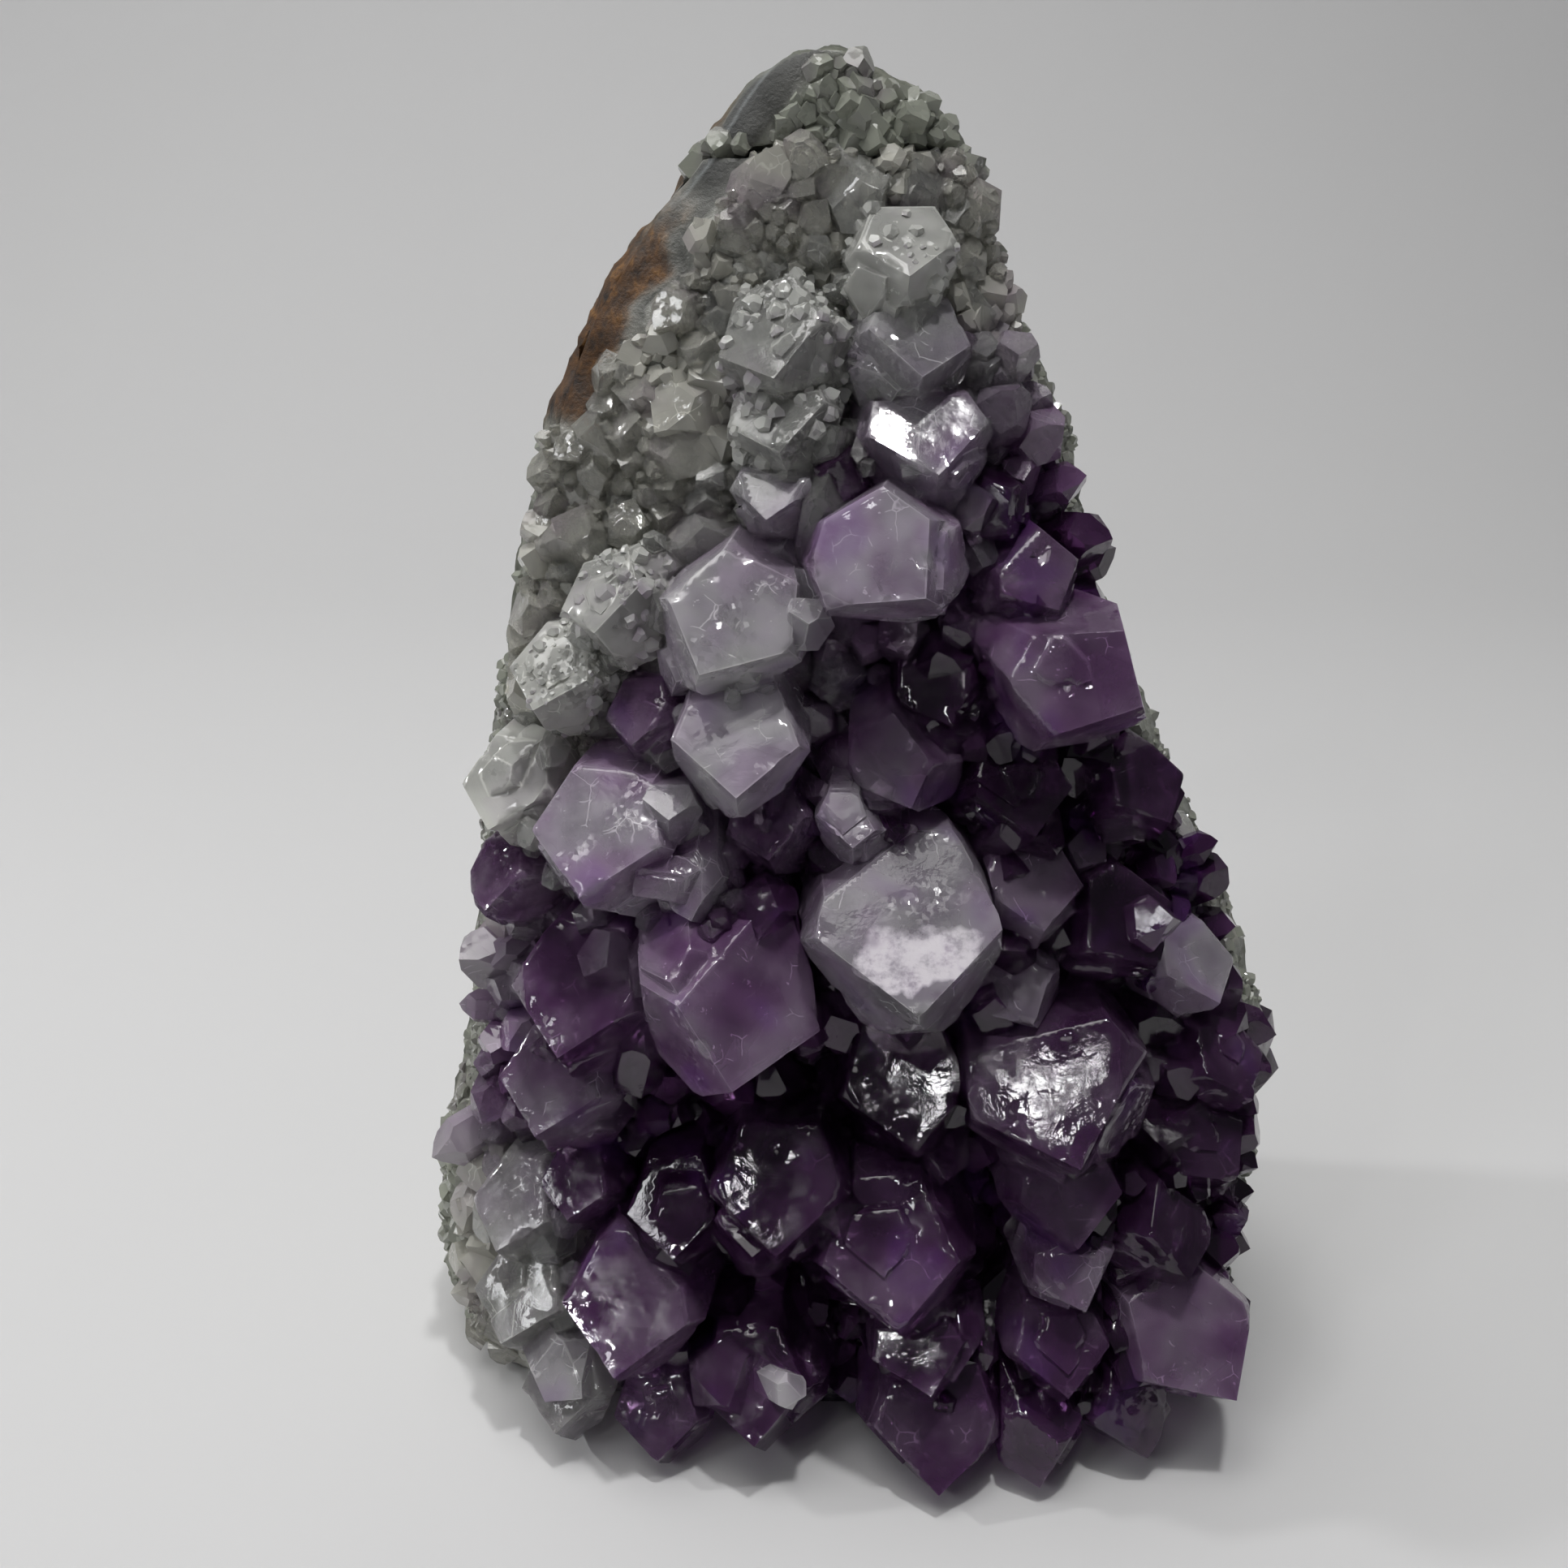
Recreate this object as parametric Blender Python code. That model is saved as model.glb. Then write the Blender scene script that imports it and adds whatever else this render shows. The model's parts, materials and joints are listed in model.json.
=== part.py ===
"""Amethyst geode: a piece of geode wall that stands on a sawn base.

A rind of basalt carries a bed of drusy quartz, and the quartz bed carries the
amethyst and quartz crystals. The front of the cluster faces -Y, +Z is up, and
the origin is at the middle of the base. Tables and shape functions work in
millimetres; solids are made in metres.
"""
import random
from math import atan2, cos, pi, radians, sin, tan

import bmesh
import bpy
from mathutils import Vector, noise

MM = 0.001

# Overall size of the rock, without the crystals
HEIGHT = 130.0
BED_TOP = 121.5          # the quartz bed ends here, the rind closes over it
GAP = 0.3                # clearance between touching pieces
SAW_CLEARANCE = 0.4      # crystals stop this far above the sawn base
SLIVER = 0.004           # edges shorter than this are dissolved

# Outline of the rock seen from the front: height, left edge, right edge
OUTLINE = (
    (0, -42, 41), (5, -44.5, 43), (10, -45.5, 43.5), (25, -43.5, 44.5),
    (40, -40.5, 43.5), (52, -38.5, 38.5), (65, -38, 32), (80, -34, 24.5),
    (96, -30.7, 19.7), (105, -27.5, 16.5), (113, -21.8, 13.2),
    (119, -17.2, 11), (124, -14, 9), (127, -11, 5.5), (130, -6, -1),
)
ROWS = (0, 4, 9, 15, 22, 30, 38, 46, 54, 62, 70, 78, 86, 94, 101, 107, 112, 116, 119)

# Depth of the rock: the side edge, and how far front and back bulge from it
SIDE_Y = (-5.0, 0.0)             # at the base, at the top
FRONT_BULGE = (19.0, 5.0)
BACK_BULGE = (29.0, 11.0)
FRONT_FULLNESS = 3.0             # exponent of the front's plan curve
BACK_FULLNESS = 2.3
RIM = 0.89                       # the bed covers this share of the half width
BED_THICKNESS = (8.0, 4.5)
BED_EDGE = 2.2                   # thickness of the bed where it meets the rim
ROUGH_BACK = 1.3                 # height of the lumps on the rind
ROUGH_FRONT = 0.7                # height of the lumps on the bed

# Quartz: the angle from the c axis to the normal of a rhombohedral face
RHOMB = radians(51.8)
TIP_HEIGHT = tan(RHOMB)          # height of a point for an apothem of one
ROOT_DEPTH = (3.6, 2.2)          # how deep a crystal sits in the bed

COLOURS = {
    "clear": ("quartz_clear", (0.62, 0.62, 0.60), 0.15),
    "milky": ("quartz_milky", (0.66, 0.65, 0.61), 0.30),
    "pale": ("amethyst_pale", (0.52, 0.44, 0.56), 0.18),
    "mid": ("amethyst_mid", (0.30, 0.21, 0.36), 0.16),
    "deep": ("amethyst_deep", (0.13, 0.07, 0.19), 0.14),
}

# Crystals. x and z place the shoulder, the widest part below the point, in
# front view; rise is how far it stands out of the bed; right and up are the
# lean of the axis in degrees; spin turns the faces about the axis; bias makes
# the first face larger than the others.
# name, x, z, across flats, rise, right, up, spin, bias, colour
CRYSTALS = (
    ("crown_quartz", 3, 113, 9, 4, 5, 0, 0, 0.2, "milky"),
    ("left_cap_quartz", -7.5, 106, 10, 4.5, -10, -5, 20, 0.3, "clear"),
    ("right_cap_quartz", 4, 106, 9.5, 4.5, 10, -5, -10, 0.3, "pale"),
    ("grey_step_quartz", -7, 100, 9.5, 5, -8, -5, 15, 0.3, "clear"),
    ("sparkle_point", 5, 98, 11, 5.5, 8, -5, 5, 0.2, "pale"),
    ("dark_dart", -2, 95.5, 5.5, 6, -5, 35, 30, 0, "deep"),
    ("lilac_step", -7.5, 94, 7.5, 5.5, -12, -8, 0, 0.2, "pale"),
    ("upper_dark_point", 11, 92, 6.5, 5, 15, -12, 50, 0.1, "deep"),
    ("lavender_head", 2, 90, 13.5, 9, 16, -12, 50, 0.1, "pale"),
    ("violet_cheek", 15, 86.5, 8.5, 7, 20, -8, 20, 0.2, "mid"),
    ("right_spur", 18.5, 79, 13.5, 10.5, 34, -2, 55, 0.1, "mid"),
    ("milk_lilac_head", -12, 83, 12, 8, -14, -10, -25, 0.2, "pale"),
    ("round_hexagon", -11, 73, 11.5, 9, -2, -8, 0, 0.3, "pale"),
    ("grey_wedge", -19.5, 74, 7, 5.5, -18, -6, 10, 0.2, "mid"),
    ("clear_ledge", -22, 84, 9, 5, -20, -2, 20, 0.2, "clear"),
    ("left_clear_lump", -27.5, 77, 8.5, 4.5, -24, -4, 0, 0.3, "clear"),
    ("inner_dark_point", 7, 76.5, 8.5, 5, 6, -14, 22, 0.1, "deep"),
    ("grey_lilac_blade", 4, 71, 10, 7, -4, -20, 32, 0.15, "mid"),
    ("violet_field", 14, 67, 9.5, 6, 14, -10, 0, 0.2, "deep"),
    ("brown_glint", 26, 66, 8, 5, 28, -8, 12, 0.1, "mid"),
    ("frosted_dome", -0.5, 65.5, 7.5, 7.5, -5, -5, 0, 0, "pale"),
    ("right_lilac_block", 15.5, 59, 9.5, 7.5, 8, -4, 0, 0.3, "mid"),
    ("dark_wedge", 24, 55, 9.5, 7.5, 30, -8, 20, 0.25, "deep"),
    ("edge_lilac", 32, 48.5, 8.5, 4.5, 28, -6, 0, 0.25, "pale"),
    ("pale_giant", 4, 56.5, 17.5, 11, 1, -4, 4, 0.34, "pale"),
    ("striped_column", 15, 49, 8, 6.5, 8, -12, 35, 0.1, "mid"),
    ("mirror_giant", 17.5, 41, 17, 9, 6, -6, 18, 0.3, "mid"),
    ("right_rounded", 35.5, 38.5, 8.5, 4.5, 34, -8, 0, 0.2, "mid"),
    ("right_dark_tooth", 33.5, 31, 9.5, 5, 38, -10, 20, 0.15, "deep"),
    ("white_shield", -32.5, 66, 9, 4.5, -22, -10, 0, 0.35, "milky"),
    ("frosted_giant", -23, 64, 12.5, 8.5, -16, -6, 0, 0.32, "pale"),
    ("fan_crystal", -15, 60, 7.5, 8, -4, -22, 30, 0.05, "pale"),
    ("violet_floor", -8, 64.5, 8.5, 6, -6, -6, 15, 0.2, "mid"),
    ("left_giant", -12, 50, 15.5, 10.5, 8, -20, -25, 0.25, "mid"),
    ("dark_pillow", -25.5, 48, 13, 7.5, -16, -6, 0, 0.3, "deep"),
    ("left_edge_violet", -33, 57, 8, 4.5, -26, -6, 20, 0.15, "mid"),
    ("left_lilac_block", -28.5, 38, 11, 6.5, -18, -6, 0, 0.25, "mid"),
    ("milk_lilac_chip", -33.5, 23.5, 9, 5, -22, -6, 0, 0.3, "milky"),
    ("beige_lump", -33, 14.5, 9.5, 5.5, -22, -8, 0, 0.25, "milky"),
    ("small_violet_tile", -27, 28, 7.5, 6, -14, -8, 0, 0.25, "mid"),
    ("smoke_block", -17, 26.5, 10, 6.5, -8, -8, 10, 0.2, "deep"),
    ("violet_crest", -7.5, 30, 12.5, 8.5, -2, -6, 0, 0.25, "mid"),
    ("lower_left_head", -21.5, 17.5, 13, 8.5, -12, -8, 0, 0.3, "pale"),
    ("sunken_violet", 4.5, 39.5, 12.5, 7, 0, -8, 10, 0.25, "deep"),
    ("lower_centre_head", 3.5, 24, 14, 9.5, -4, -8, 10, 0.25, "mid"),
    ("lilac_roof", 19.5, 29.5, 10.5, 8.5, 8, -12, 0, 0.3, "mid"),
    ("pink_block", 20.5, 22, 8.5, 9, 10, -10, 20, 0.15, "pale"),
    ("dark_beak", 30, 24, 9.5, 7.5, 24, -16, -20, 0.2, "deep"),
    ("right_foot_giant", 32.5, 13, 13.5, 9, 28, -10, 22, 0.25, "pale"),
    ("speckled_tile", 6.5, 14.5, 9.5, 9.5, 0, -8, 20, 0.2, "mid"),
    ("lower_right_tile", 19.5, 14, 9.5, 9.5, 6, -8, 0, 0.25, "mid"),
    ("foot_centre", 8, 6, 13, 9.5, -3, -10, 0, 0.3, "mid"),
    ("foot_point", 17.5, 5.5, 9, 10, 2, -34, 30, 0.05, "mid"),
    ("foot_corner", 27, 6, 9, 9, 22, -28, 0, 0.1, "deep"),
    ("foot_left", -19, 5, 9, 7.5, -8, -12, 10, 0.2, "mid"),
    ("foot_left_centre", -9.5, 9, 11, 8.5, -4, -8, 10, 0.2, "mid"),
    ("corner_milk", -28.5, 6.5, 9, 7, -14, -8, 10, 0.2, "milky"),
)


def mix(low, high, share):
    return low + (high - low) * share


def along_height(pair, z):
    """Read a (base, top) pair of values at height z."""
    return mix(pair[0], pair[1], min(max(z / HEIGHT, 0.0), 1.0))


def edges_at(z):
    """Left and right edge of the rock at height z."""
    z = min(max(z, 0.0), HEIGHT)
    for low, high in zip(OUTLINE, OUTLINE[1:]):
        if z <= high[0]:
            share = (z - low[0]) / (high[0] - low[0])
            return mix(low[1], high[1], share), mix(low[2], high[2], share)
    return OUTLINE[-1][1:]


def plan_curve(share, fullness):
    """Superellipse: 1 in the middle of the rock and 0 at its side edges."""
    return max(0.0, 1.0 - min(abs(share), 1.0) ** fullness) ** (1.0 / fullness)


def across(share, z):
    """x of a place given as -1 at the left edge to +1 at the right edge."""
    left, right = edges_at(z)
    return (left + right) / 2 + share * (right - left) / 2


def front_y(share, z):
    return along_height(SIDE_Y, z) - along_height(FRONT_BULGE, z) * plan_curve(share, FRONT_FULLNESS)


def back_y(share, z):
    return along_height(SIDE_Y, z) + along_height(BACK_BULGE, z) * plan_curve(share, BACK_FULLNESS)


def bed_front(x, z):
    """y of the smooth bed surface at a place seen from the front."""
    left, right = edges_at(z)
    return front_y((2 * x - left - right) / (right - left), z)


def bed_normal(x, z):
    """Direction that points out of the bed, towards the front."""
    step = 1.0
    slope_x = (bed_front(x + step, z) - bed_front(x - step, z)) / (2 * step)
    slope_z = (bed_front(x, z + step) - bed_front(x, z - step)) / (2 * step)
    return Vector((slope_x, -1.0, slope_z)).normalized()


def recess_y(share, z):
    """y of the face between rind and bed."""
    inner = min(abs(share) / RIM, 1.0)
    depth = mix(along_height(BED_THICKNESS, z), BED_EDGE, inner ** 4)
    return front_y(share, z) + depth


def lumps(x, y, z, height, scale):
    """Smooth bumps and finer grain for a broken rock surface."""
    spot = Vector((x, y, z))
    coarse = noise.noise(spot / scale)
    fine = noise.noise(spot / (scale * 0.35))
    return height * (coarse + 0.45 * fine)


def material(name, colour, roughness):
    made = bpy.data.materials.new(name)
    made.use_nodes = True
    shader = made.node_tree.nodes["Principled BSDF"]
    shader.inputs["Base Color"].default_value = (*colour, 1.0)
    shader.inputs["Roughness"].default_value = roughness
    shader.inputs["Metallic"].default_value = 0.0
    made.diffuse_color = (*colour, 1.0)
    return made


def solid(name, points, faces, finish, parent=None):
    """Make an object in metres from points in millimetres."""
    mesh = bpy.data.meshes.new(name)
    mesh.from_pydata([Vector(point) * MM for point in points], [], faces)
    mesh.materials.append(finish)
    mesh.update()
    made = bpy.data.objects.new(name, mesh)
    bpy.context.scene.collection.objects.link(made)
    made.parent = parent
    return made


def loft(name, rings, finish, parent):
    """Closed solid through rings that run anticlockwise seen from above."""
    count = len(rings[0])
    points = [point for ring in rings for point in ring]
    faces = [list(range(count))[::-1]]
    for row in range(len(rings) - 1):
        for place in range(count):
            here = row * count + place
            side = row * count + (place + 1) % count
            faces.append([here, side, side + count, here + count])
    last = (len(rings) - 1) * count
    faces.append([last + place for place in range(count)])
    return solid(name, points, faces, finish, parent)


def spread(start, end, count):
    """Shares from start to end, closer together near the side edges."""
    low, high = start * pi / 2, end * pi / 2
    return [sin(mix(low, high, step / (count - 1))) for step in range(count)]


def rind_ring(z, recessed):
    """One level of the rind: rim, recess for the bed, rim, then the back."""
    ring = []
    rim_shares = ((-0.995, 0.5), (-0.95, 0.5), (-RIM, 0.0))
    inner_shares = [RIM * share for share in spread(-1, 1, 9)]
    for share, rough in rim_shares:
        ring.append((share, front_y(share, z), rough))
    for share in inner_shares:
        ring.append((share * 0.999, recess_y(share, z) if recessed else front_y(share, z), 0.0))
    for share, rough in reversed(rim_shares):
        ring.append((-share, front_y(share, z), rough))
    for share in spread(1, -1, 13):
        ring.append((share, back_y(share, z), 1.0))
    placed = []
    for share, y, rough in ring:
        x = across(share, z)
        push = lumps(x, y, z, ROUGH_BACK * rough, 11.0)
        forward = plan_curve(share, BACK_FULLNESS) + 0.05 if rough == 1.0 else -0.6
        outwards = Vector((share, forward, 0)).normalized()
        placed.append((x + outwards.x * push, y + outwards.y * push, z))
    return placed


def make_rind(finish, parent):
    """Basalt rind: flat sawn base, rough back, and a rim round the bed."""
    rings = [rind_ring(z, True) for z in ROWS]
    rings.append(rind_ring(BED_TOP, True))
    rings.append(rind_ring(BED_TOP + 0.2, False))
    rings += [rind_ring(z, False) for z in (124.5, 127.5, HEIGHT)]
    return loft("basalt_rind", rings, finish, parent)


def bed_ring(z):
    """One level of the quartz bed: lumpy front, smooth back on the rind."""
    ring = []
    edge = RIM - 2 * GAP / (edges_at(z)[1] - edges_at(z)[0])
    for share in spread(-1, 1, 13):
        place = share * edge
        x = across(place, z)
        y = front_y(place, z)
        grain = 0.0 if abs(share) == 1.0 else lumps(x, y, z, ROUGH_FRONT, 6.0)
        ring.append((x, y - abs(grain), z))
    for share in spread(1, -1, 9):
        place = share * edge
        ring.append((across(place, z), recess_y(place * RIM / edge, z) - GAP, z))
    return ring


def make_bed(finish, parent):
    """Drusy quartz bed, which fills the recess in the rind."""
    levels = list(ROWS) + [BED_TOP - GAP]
    return loft("drusy_quartz_bed", [bed_ring(z) for z in levels], finish, parent)


class Crystal:
    """One crystal as the space inside a set of planes."""

    def __init__(self, row):
        self.name, x, z, flats, rise, right, up, spin, bias, self.colour = row
        self.radius = flats / 2
        self.bias = bias
        self.centre = Vector((x, bed_front(x, z) - rise, z))
        lean, lift = radians(right), radians(up)
        self.axis = Vector((sin(lean) * cos(lift), -cos(lean) * cos(lift), sin(lift)))
        self.side = self.axis.cross(Vector((0, 0, 1))).normalized()
        self.over = self.side.cross(self.axis).normalized()
        self.spin = radians(spin)
        self.cuts = []
        self.draw = random.Random(self.name)

    def around(self, turn):
        """Direction square to the axis, turned from straight up."""
        return self.over * cos(turn + self.spin) + self.side * sin(turn + self.spin)

    def shape(self):
        """Prism faces, then rhombohedral faces that meet near the tip."""
        tip = self.centre + self.axis * self.radius * TIP_HEIGHT
        minor = self.draw.uniform(0.12, 0.42)
        for face in range(6):
            turn = face * pi / 3
            out = self.around(turn)
            width = self.radius * self.draw.uniform(0.93, 1.06)
            self.cuts.append((self.centre + out * width, out))
            slope = self.axis * cos(RHOMB) + out * sin(RHOMB)
            if face == 0:
                shift = -self.bias * self.radius
            elif face % 2 == 0:
                shift = self.radius * self.draw.uniform(-0.03, 0.05)
            else:
                shift = self.radius * (minor + self.draw.uniform(-0.06, 0.06))
            self.cuts.append((tip + slope * shift, slope))

    def root(self):
        """Plane that ends the crystal inside the bed."""
        place = self.centre.copy()
        depth = along_height(ROOT_DEPTH, self.centre.z)
        while place.y < bed_front(place.x, place.z) + depth:
            place -= self.axis * 0.1
        self.cuts.append((place, -bed_normal(place.x, place.z)))
        self.cuts.append((Vector((0, 0, SAW_CLEARANCE)), Vector((0, 0, -1))))

    def part_from(self, other):
        """Plane between two neighbours, nearer to the smaller one."""
        middle = (self.axis + other.axis).normalized()
        apart = other.centre - self.centre
        apart -= middle * apart.dot(middle)
        distance = apart.length
        if distance > 2.2 * (self.radius + other.radius):
            return
        place = (distance ** 2 + self.radius ** 2 - other.radius ** 2) / (2 * distance)
        place = min(max(place, 0.25 * distance), 0.75 * distance)
        away = apart / distance
        self.cuts.append((self.centre + away * (place - GAP / 2), away))
        other.cuts.append((self.centre + away * (place + GAP / 2), -away))

    def polygons(self, grow=0.0):
        """Faces of the crystal, grown outwards for the socket it sits in."""
        size = 60.0
        corners = [
            self.centre + Vector((x, y, z)) * size
            for x in (-1, 1) for y in (-1, 1) for z in (-1, 1)
        ]
        box = ((0, 1, 3, 2), (4, 6, 7, 5), (0, 4, 5, 1), (2, 3, 7, 6), (0, 2, 6, 4), (1, 5, 7, 3))
        faces = [[corners[corner] for corner in face] for face in box]
        for point, normal in self.cuts:
            faces = keep_below(faces, point + normal * grow, normal)
        return faces


def keep_below(faces, point, normal):
    """Cut a convex solid with a plane and keep the side behind it."""
    kept, rim = [], []
    for face in faces:
        heights = [(corner - point).dot(normal) for corner in face]
        shorter = []
        for place, corner in enumerate(face):
            height, following = heights[place], heights[(place + 1) % len(face)]
            if height <= 0:
                shorter.append(corner)
            if (height <= 0) != (following <= 0):
                crossing = corner.lerp(face[(place + 1) % len(face)], height / (height - following))
                shorter.append(crossing)
                rim.append(crossing)
        if len(shorter) > 2:
            kept.append(shorter)
    if len(rim) > 2:
        kept.append(capped(rim, normal))
    return kept


def capped(rim, normal):
    """Order the crossing points anticlockwise about the plane's normal."""
    middle = sum(rim, Vector()) / len(rim)
    first = normal.orthogonal().normalized()
    second = normal.cross(first)
    order = sorted(rim, key=lambda p: atan2((p - middle).dot(second), (p - middle).dot(first)))
    return [corner for place, corner in enumerate(order) if (corner - order[place - 1]).length > 1e-5]


def welded(faces, reach=0.06):
    """Points and index faces, with corners closer than reach made one."""
    points, indexed = [], []
    for face in faces:
        ring = []
        for corner in face:
            for place, point in enumerate(points):
                if (point - corner).length < reach:
                    break
            else:
                place = len(points)
                points.append(corner)
            if place not in ring:
                ring.append(place)
        if len(ring) > 2:
            indexed.append(ring)
    return points, indexed


def make_crystals():
    """Shape every crystal, then part each from its neighbours."""
    crystals = [Crystal(row) for row in CRYSTALS]
    for crystal in crystals:
        crystal.shape()
        crystal.root()
    for place, crystal in enumerate(crystals):
        for other in crystals[place + 1:]:
            crystal.part_from(other)
    return crystals


def drop_chips(mesh):
    """Keep the largest body, without slivers cut loose between sockets."""
    work = bmesh.new()
    work.from_mesh(mesh)
    bmesh.ops.dissolve_degenerate(work, dist=SLIVER * MM, edges=work.edges)
    left = set(work.verts)
    bodies = []
    while left:
        body, waiting = set(), [left.pop()]
        while waiting:
            vertex = waiting.pop()
            body.add(vertex)
            for edge in vertex.link_edges:
                neighbour = edge.other_vert(vertex)
                if neighbour in left:
                    left.remove(neighbour)
                    waiting.append(neighbour)
        bodies.append(body)
    bodies.sort(key=len)
    chips = [vertex for body in bodies[:-1] for vertex in body]
    bmesh.ops.delete(work, geom=chips, context="VERTS")
    work.to_mesh(mesh)
    work.free()


def cut_sockets(pieces, crystals):
    """Cut a socket for each crystal, then drop the cutters."""
    cutters = bpy.data.collections.new("sockets")
    for crystal in crystals:
        points, faces = welded(crystal.polygons(GAP))
        cutter = solid("socket", points, faces, pieces[0].data.materials[0])
        cutters.objects.link(cutter)
    for piece in pieces:
        cut = piece.modifiers.new("sockets", "BOOLEAN")
        cut.operation = "DIFFERENCE"
        cut.operand_type = "COLLECTION"
        cut.collection = cutters
        cut.solver = "EXACT"
    graph = bpy.context.evaluated_depsgraph_get()
    for piece in pieces:
        finished = bpy.data.meshes.new_from_object(piece.evaluated_get(graph))
        drop_chips(finished)
        piece.modifiers.clear()
        piece.data = finished
    for cutter in list(cutters.objects):
        bpy.data.objects.remove(cutter)
    bpy.data.collections.remove(cutters)


def centre_on_base(parent, pieces):
    """Move the whole piece so the middle of its box's base is the origin."""
    corners = [vertex.co for piece in pieces for vertex in piece.data.vertices]
    middle_x = (min(c.x for c in corners) + max(c.x for c in corners)) / 2
    middle_y = (min(c.y for c in corners) + max(c.y for c in corners)) / 2
    parent.location = (-middle_x, -middle_y, 0.0)


def main():
    for old in list(bpy.data.objects):
        bpy.data.objects.remove(old)
    geode = bpy.data.objects.new("geode", None)
    bpy.context.scene.collection.objects.link(geode)
    rind = make_rind(material("basalt_rind", (0.17, 0.17, 0.14), 0.75), geode)
    bed = make_bed(material("drusy_quartz", (0.45, 0.45, 0.42), 0.3), geode)
    crystals = make_crystals()
    cut_sockets((rind, bed), crystals)
    finishes = {key: material(*values) for key, values in COLOURS.items()}
    pieces = [rind, bed]
    for crystal in crystals:
        points, faces = welded(crystal.polygons())
        pieces.append(solid(crystal.name, points, faces, finishes[crystal.colour], geode))
    centre_on_base(geode, pieces)


main()
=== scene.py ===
"""Looks of the amethyst geode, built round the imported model.

Each crystal of the model becomes a piece with stepped faces, worn edges and
zoned colour. The rind and the quartz bed become fine rock surfaces, and small
crystals are grown over the bed, the rim and some of the large faces.
Lengths are metres; MM turns millimetres into metres.
"""
import itertools
import json
import math
import random

import bmesh
import bpy
import numpy as np
from mathutils import Matrix, Vector, noise
from mathutils.bvhtree import BVHTree
from mathutils.kdtree import KDTree

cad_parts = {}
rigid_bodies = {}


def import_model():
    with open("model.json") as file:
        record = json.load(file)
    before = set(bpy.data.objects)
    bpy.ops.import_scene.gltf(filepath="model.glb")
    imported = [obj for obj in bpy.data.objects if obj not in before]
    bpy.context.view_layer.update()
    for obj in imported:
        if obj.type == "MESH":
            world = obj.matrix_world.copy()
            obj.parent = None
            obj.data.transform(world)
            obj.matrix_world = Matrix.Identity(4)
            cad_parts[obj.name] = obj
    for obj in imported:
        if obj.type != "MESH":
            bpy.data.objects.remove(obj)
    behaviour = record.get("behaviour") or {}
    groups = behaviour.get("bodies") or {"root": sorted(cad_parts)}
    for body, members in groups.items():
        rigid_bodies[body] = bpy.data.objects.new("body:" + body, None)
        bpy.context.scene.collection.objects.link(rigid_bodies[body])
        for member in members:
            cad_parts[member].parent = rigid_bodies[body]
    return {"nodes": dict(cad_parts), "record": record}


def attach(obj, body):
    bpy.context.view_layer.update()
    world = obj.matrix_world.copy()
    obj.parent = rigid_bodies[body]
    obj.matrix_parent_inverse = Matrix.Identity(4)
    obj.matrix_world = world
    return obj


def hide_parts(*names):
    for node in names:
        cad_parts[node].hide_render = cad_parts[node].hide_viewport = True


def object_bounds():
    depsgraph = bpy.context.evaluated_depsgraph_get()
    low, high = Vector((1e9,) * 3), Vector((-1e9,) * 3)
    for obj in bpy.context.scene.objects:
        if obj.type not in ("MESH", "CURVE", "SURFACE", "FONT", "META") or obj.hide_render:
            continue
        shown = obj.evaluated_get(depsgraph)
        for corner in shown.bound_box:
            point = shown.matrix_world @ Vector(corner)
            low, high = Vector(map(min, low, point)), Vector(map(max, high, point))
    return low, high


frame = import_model()
CAD_LOW, CAD_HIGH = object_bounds()

MM = 0.001
HEIGHT = CAD_HIGH.z
ROCK, BED = "basalt_rind", "drusy_quartz_bed"
SEED = 7

# Quartz: the angle from the long axis to the normal of a face of the point
RHOMB = math.radians(51.8)
# Edges that bend more than this stay sharp
CREASE = math.radians(22)
# Crystals end this far above the ground
GROUND_GAP = 0.15 * MM
# How far the white veil in the largest pale crystal lies above its middle
VEIL_RISE = 3.8 * MM

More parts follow.
